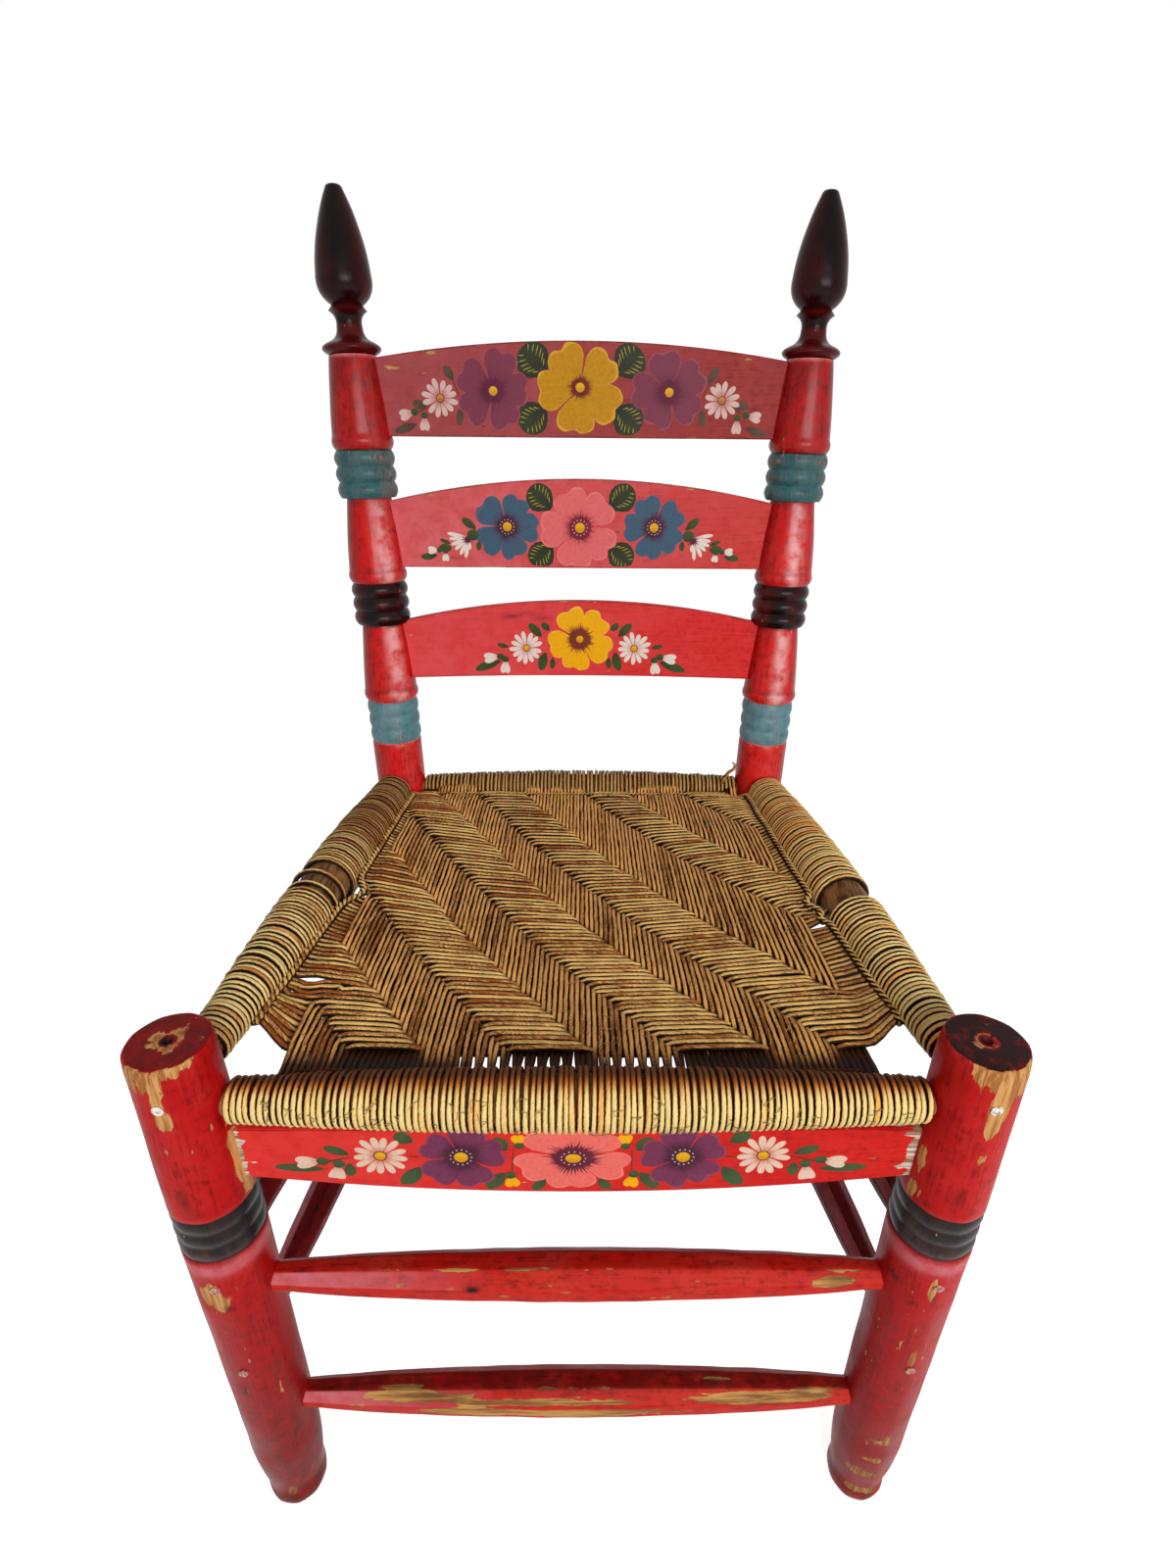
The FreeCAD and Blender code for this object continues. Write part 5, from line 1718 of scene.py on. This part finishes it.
# %% [markdown]
# ## The woven sheet
# The sheet is a twill: each cord that runs across goes over about fourteen of the lengthwise cords and under the
# next fourteen or so, and each row is moved on by one. That gives the broad slanting bands. A cord arches a little
# over its long float and is pinched where it dives. The sheet sags in the middle under years of sitting, and holes
# have opened near the side rails. All of it is built cord by cord, so that the gaps are real gaps.

# %% Shape of the sheet
LENGTHWISE = 94
CROSSWISE = 74
FRONT_ROW = -160.0
ROW_PITCH = 4.35
FRONT_PITCH = 3.6
REAR_PITCH = 3.15
BANDS = ((8.5, 20.5), (34.5, 48.5), (62.0, 77.0), (88.5, 103.0), (121.0, 134.0), (150.0, 164.0))
RISE = 1.6
FLOAT_ARCH = 0.9
SHEET_FRONT = -178.0
SHEET_REAR = 158.0
SHEET_LEVEL = 404.0
REAR_RISE = 6.5
SIDE_RISE = 6.5
SAG = 10.0
ROW_BOW = 9.0
BOW_DEPTH = 318.0
BOW_HALF = 190.0
DIVE_REACH = 1.3
ARCH_REACH = 2.2
PINCH_REACH = 1.5
WOVEN_DEPTH = 1.7
EDGE_STEPS = 5
TIE_START = -141.0
TIE_PITCH = 2.6
HOLES = ((-166.0, -14.0, 6.0, 4.6), (172.0, -31.0, 5.0, 3.4), (174.0, -49.0, 6.0, 3.0), (181.0, -40.0, 4.0, 2.4),
         (-172.0, -107.0, 7.0, 2.6), (-150.0, -113.0, 4.0, 1.6), (-184.0, -118.0, 6.0, 2.4),
         (122.0, 64.6, 26.0, 0.9), (150.0, -100.0, 32.0, 1.0), (-60.0, 21.0, 14.0, 0.5))
TORN_EDGES = {-1: ((-13.0, 12.0, 9.0),), 1: ((-27.0, 7.0, 6.5), (-46.0, 5.0, 4.0))}


def rail_inside(y):
    """How far out the inner edge of the side rolls is at a place along the seat."""
    share = (y - FRONT_Y) / (left_end.y / MM - FRONT_Y)
    along = share * side_length
    inside = (along - leg_reach) / (side_length - leg_reach - post_reach)
    wood = TENON_RADIUS + (SIDE_RADIUS - TENON_RADIUS) * share_at(SIDE_SHARES, inside)
    axis = abs(left_start.x) / MM + (abs(left_end.x) - abs(left_start.x)) / MM * share
    return axis - wood - CORD


def edge_out(side, y):
    """The sheet's edge along one side roll, which has pulled away where cords have broken."""
    out = rail_inside(y)
    for torn_y, width, opened in TORN_EDGES[side]:
        out -= opened * math.exp(-((y - torn_y) / width) ** 2)
    return out


def row_bow(x, y):
    """The rows sag forwards in their middle, more towards the rear."""
    share = min(max((y - FRONT_ROW) / BOW_DEPTH, 0.0), 1.0)
    return ROW_BOW * math.sin(math.pi * share ** 1.3) * max(1 - (x / BOW_HALF) ** 2, 0.0)


def sheet_height(x, y):
    """The height of the middle of the sheet: slung between the rolls, higher at the sides, sagging inside."""
    along = min(max((y - SHEET_FRONT) / (SHEET_REAR - SHEET_FRONT), 0.0), 1.0)
    across = min(abs(x) / rail_inside(y), 1.0)
    inner = (1 - across ** 2) * (1 - (2 * along - 1) ** 2)
    lifted = SIDE_RISE * (1 - (2 * along - 1) ** 4) * across ** 2
    return SHEET_LEVEL + REAR_RISE * along + lifted - SAG * inner


def crossing(diagonal):
    """How a crosswise cord rides at a diagonal of the twill, above or below, and how much it is pinched there."""
    side = -1.0
    nearest = 100.0
    for low, high in BANDS:
        nearest = min(nearest, abs(diagonal - low), abs(diagonal - high))
        if low < diagonal < high:
            side = 1.0
    dive = min(nearest / DIVE_REACH, 1.0)
    ride = side * (RISE * dive * dive * (3 - 2 * dive) + FLOAT_ARCH * (1 - math.exp(-nearest / ARCH_REACH)))
    return ride, math.exp(-nearest / PINCH_REACH)


def parted(x, y):
    """Moves a crosswise cord away from the middle of a hole."""
    moved = y
    for hole_x, hole_y, width, opened in HOLES:
        away = (y - hole_y) / (2.2 * opened + 2.0)
        near = math.exp(-((x - hole_x) / width) ** 2 - away * away)
        moved += opened * near * (1 if y > hole_y else -1)
    return moved


def lengthwise_x(index, y):
    """Where a lengthwise cord runs: the cords fan out towards the front."""
    share = (y - FRONT_ROW) / ((CROSSWISE - 1) * ROW_PITCH)
    return (index - (LENGTHWISE - 1) / 2) * (FRONT_PITCH + (REAR_PITCH - FRONT_PITCH) * share)


def x_pitch_half(y):
    """Half the distance between neighbouring lengthwise cords."""
    return (lengthwise_x(1, y) - lengthwise_x(0, y)) / 2


print("sheet height at its middle", round(sheet_height(0, 0), 1))

# %% Crosswise cords
bm = new_cords()
UP = Vector((0, 0, 1))
for row in range(CROSSWISE):
    y = FRONT_ROW + ROW_PITCH * row
    tied = max(y, TIE_START + TIE_PITCH * row)
    edge = lengthwise_x(LENGTHWISE - 1, y)
    wander = chance.uniform(0, 100)
    jitter = chance.uniform(-0.7, 0.7)
    left, right = (edge_out(side, tied) + (4.0 if edge_out(side, tied) > rail_inside(tied) - 2 else 0.5)
                   for side in (-1, 1))
    spots = [-edge - (left - edge) * part / EDGE_STEPS for part in range(EDGE_STEPS, 0, -1)]
    spots += [lengthwise_x(index, y) for index in range(LENGTHWISE)]
    spots += [edge + (right - edge) * part / EDGE_STEPS for part in range(1, EDGE_STEPS + 1)]
    points, shades, across, deep = [], [], [], []
    for number, x in enumerate(spots):
        out = left if x < 0 else right
        past = min(max((abs(x) - edge) / (out - edge), 0.0), 1.0)
        bent = y + (tied - y) * past * past * (3 - 2 * past) - row_bow(x, y)
        sway = noise.noise(Vector((x / 40, wander, 0))) * 0.6 + noise.noise(Vector((x / 12, wander, 4))) * 0.5
        here = parted(x, bent) + sway
        column = number - EDGE_STEPS
        diagonal = column + (bent - FRONT_ROW) / ROW_PITCH + jitter
        ride, pinch = crossing(diagonal)
        ride *= (1 - past) ** 2
        stacked = (row % 2) * 1.2 * past if row < 11 else 0.0
        climb = 3.0 * past ** 3
        points.append(Vector((x, here, sheet_height(x, here) + ride + stacked + climb)))
        # Painted shade: a cord darkens where it dives under the lengthwise cords; its ends over the rolls are a
        # little darker
        above = min(max((ride + 0.6) / 1.8, 0.0), 1.0)
        shades.append(0.3 + 0.7 * above if past == 0 else 0.75)
        thick = 1 + 0.14 * (1 - pinch) * noise.noise(Vector((x / 11, wander, 6)))
        across.append(2.2 * thick * ((1.04 - 0.08 * pinch) if ride > 0 else 1.1))
        deep.append(WOVEN_DEPTH)
    tint = chance.uniform(0.1, 1.0)
    lay_cord(bm, points, [UP] * len(points), across, deep, tint, shades)
vary_tints(bm, 0.05, 0.35)
finish_cords(bm, "seat_cords_across", [golden], ["seat_panel"])

# %% Lengthwise cords
bm = new_cords()
OPEN_PAIRS = ((-62, -1), (19, 62))
BARE_FRONT = (-181.0, -177.5, -174.0, -170.5, -167.0, -163.5)
for index in range(LENGTHWISE):
    pair = 0.9 if index % 2 == 0 else -0.9
    middle_x = lengthwise_x(index, FRONT_ROW)
    open_pair = 1.0 if any(low < middle_x < high for low, high in OPEN_PAIRS) else 0.15
    wander = chance.uniform(0, 100)
    jitter = chance.uniform(-0.5, 0.5)
    spots = list(BARE_FRONT) + [FRONT_ROW + ROW_PITCH * row for row in range(CROSSWISE)] + [161.0, 164.0]
    points, shades, across, deep = [], [], [], []
    for number, y in enumerate(spots):
        row = number - len(BARE_FRONT)
        x = lengthwise_x(index, y)
        free = min(max((FRONT_ROW - y) / 14.0, 0.0), 1.0)
        ride, pinch = crossing(index + min(max(row, 0), CROSSWISE - 1) + jitter)
        ride = -ride
        x += pair * open_pair * free * 1.15
        wave = noise.noise(Vector((y / 30, wander, 5))) + noise.noise(Vector((y / 8, wander, 2)))
        x += 0.5 * wave * (1 - free) * (1 - 0.6 * pinch)
        z = sheet_height(x, y) + ride * (1 - free)
        if row >= CROSSWISE:
            z += 2.4 * (row - CROSSWISE + 1)
        points.append(Vector((x, y, z)))
        # Painted shade: darker where a cord dives, and much darker on the free lengths behind the front roll
        above = min(max((ride + 0.6) / 1.8, 0.0), 1.0)
        shades.append((0.3 + 0.7 * above) * (1 - 0.62 * free))
        tight = 1.0 + 0.2 * pinch if ride > 0 else 1.22
        if open_pair < 1:
            tight += 0.18 * free
        thick = 1 + 0.22 * (1 - pinch) * noise.noise(Vector((y / 9, wander, 9)))
        across.append(x_pitch_half(y) * tight * thick * (1 - 0.1 * free))
        deep.append(WOVEN_DEPTH)
    tint = chance.uniform(0.2, 1.0)
    lay_cord(bm, points, [UP] * len(points), across, deep, tint, shades)
vary_tints(bm, 0.05, 0.35)
finish_cords(bm, "seat_cords_along", [brown], [])

# %% [markdown]
# ## Twined edges
# Along each side roll the crosswise cords are locked by a chain of two strands twisted round each other. Finer chains
# run along the rear and just behind the front roll.

# %% Twined edges
CHAIN_PITCH = 9.5
CHAIN_WIDTH = 1.7
CHAIN_START = -147.0
CHAIN_LENGTH = 298.0
CHAIN_STEPS = 240
REAR_CHAIN_Y = 154.5
FRONT_CHAIN_Y = -180.4
FRONT_CHAIN_Z = 407.0


def twine(bm, path, width, pitch, shade):
    """Two strands twisted round each other along a path of points a millimetre or so apart."""
    length = 0.0
    turns = []
    for index, point in enumerate(path):
        length += (point - path[index - 1]).length if index else 0.0
        turns.append(2 * math.pi * length / pitch)
    for strand in (0.0, math.pi):
        points = []
        for index, point in enumerate(path):
            way = (path[min(index + 1, len(path) - 1)] - path[max(index - 1, 0)]).normalized()
            side = way.cross(UP).normalized()
            turn = turns[index] + strand
            points.append(point + side * width * math.cos(turn) + UP * width * 0.8 * math.sin(turn))
        count = len(points)
        # Painted shade: each strand darkens where it turns under the other
        shades = [shade * (0.62 + 0.38 * math.sin(turn + strand)) for turn in turns]
        lay_cord(bm, points, [UP] * count, [width] * count, [width * 0.95] * count, chance.uniform(0.3, 0.7), shades)


bm = new_cords()
for side in (-1, 1):
    path = []
    for step in range(CHAIN_STEPS + 1):
        y = CHAIN_START + CHAIN_LENGTH * step / CHAIN_STEPS
        x = edge_out(side, y) - 1.2 + noise.noise(Vector((y / 30, side, 2)))
        path.append(Vector((side * x, y, sheet_height(x, y) + 3.0)))
    twine(bm, path, CHAIN_WIDTH, CHAIN_PITCH, 0.95)
path = [Vector((x, REAR_CHAIN_Y + noise.noise(Vector((x / 20, 1, 4))), sheet_height(x, 155) + 2.6))
        for x in range(-138, 139, 2)]
twine(bm, path, 1.4, 8.0, 0.9)
# The chain behind the front roll is darkened, as painted shade and dust
path = [Vector((x, FRONT_CHAIN_Y + noise.noise(Vector((x / 9, 8, 4))), FRONT_CHAIN_Z))
        for x in range(-158, 159, 2)]
twine(bm, path, 1.1, 7.3, 0.34)
vary_tints(bm, 0.03, 0.5)
finish_cords(bm, "seat_chains", [golden], [])

# %% [markdown]
# ## Loose ends
# Old straw frays. Fine fibres stand off the rolls and lie across the weave, and one end of cord was tucked in behind
# the right rear post and has sprung out again.

# %% Loose ends
FIBRES = 150
ROLL_FIBRES = 60
ROLL_HALF = 188
TAIL = ((133, 158, 424), (135, 156, 430), (138, 154, 437), (142, 152, 441), (143, 151, 446), (140, 150, 449))
TAIL_ACROSS = [1.9, 1.8, 1.6, 1.5, 1.3, 0.8]
TAIL_DEEP = [1.6, 1.6, 1.5, 1.4, 1.2, 0.7]

bm = new_cords()
for index in range(FIBRES):
    x = chance.uniform(-165, 165)
    y = chance.uniform(-165, 150)
    if abs(x) > rail_inside(y) - 8:
        continue
    heading = chance.gauss(0.0, 0.5) if chance.random() < 0.6 else chance.uniform(0, math.pi)
    long = chance.uniform(5, 16)
    points = []
    for step in range(6):
        part = step / 5
        bend_here = heading + part * chance.uniform(-0.3, 0.5)
        spot_x = x + math.cos(bend_here) * long * part
        spot_y = y + math.sin(bend_here) * long * part
        lifted = 3.6 + chance.uniform(0.4, 1.2) * math.sin(math.pi * part)
        points.append(Vector((spot_x, spot_y, sheet_height(spot_x, spot_y) + lifted)))
    lay_cord(bm, points, [UP] * 6, [0.22] * 6, [0.14] * 6, 0.9, [1.0] * 6)
for index in range(ROLL_FIBRES):
    start_x = chance.uniform(-175, 175)
    turn = math.radians(chance.uniform(40, 120))
    points, ups = [], []
    for step in range(6):
        part = step / 5
        angle = turn + part * chance.uniform(0.2, 0.5)
        radial = Vector((0, -math.sin(angle), -math.cos(angle)))
        place = (start_x + ROLL_HALF) / (2 * ROLL_HALF)
        wood = TENON_RADIUS + (FRONT_RADIUS - TENON_RADIUS) * share_at(END_SHARES, place)
        reach = wood + CORD + 0.3 + part * chance.uniform(0.0, 0.9)
        points.append(Vector((start_x + 7 * part * chance.uniform(-0.5, 1), FRONT_Y, FRONT_RAIL_Z)) + radial * reach)
        ups.append(radial)
    lay_cord(bm, points, ups, [0.2] * 6, [0.14] * 6, 0.9, [1.0] * 6)
lay_cord(bm, [Vector(spot) for spot in TAIL], [Vector((0, -1, 0))] * 6, TAIL_ACROSS, TAIL_DEEP, 0.3, [0.8] * 6)
finish_cords(bm, "seat_loose_ends", [golden], [])
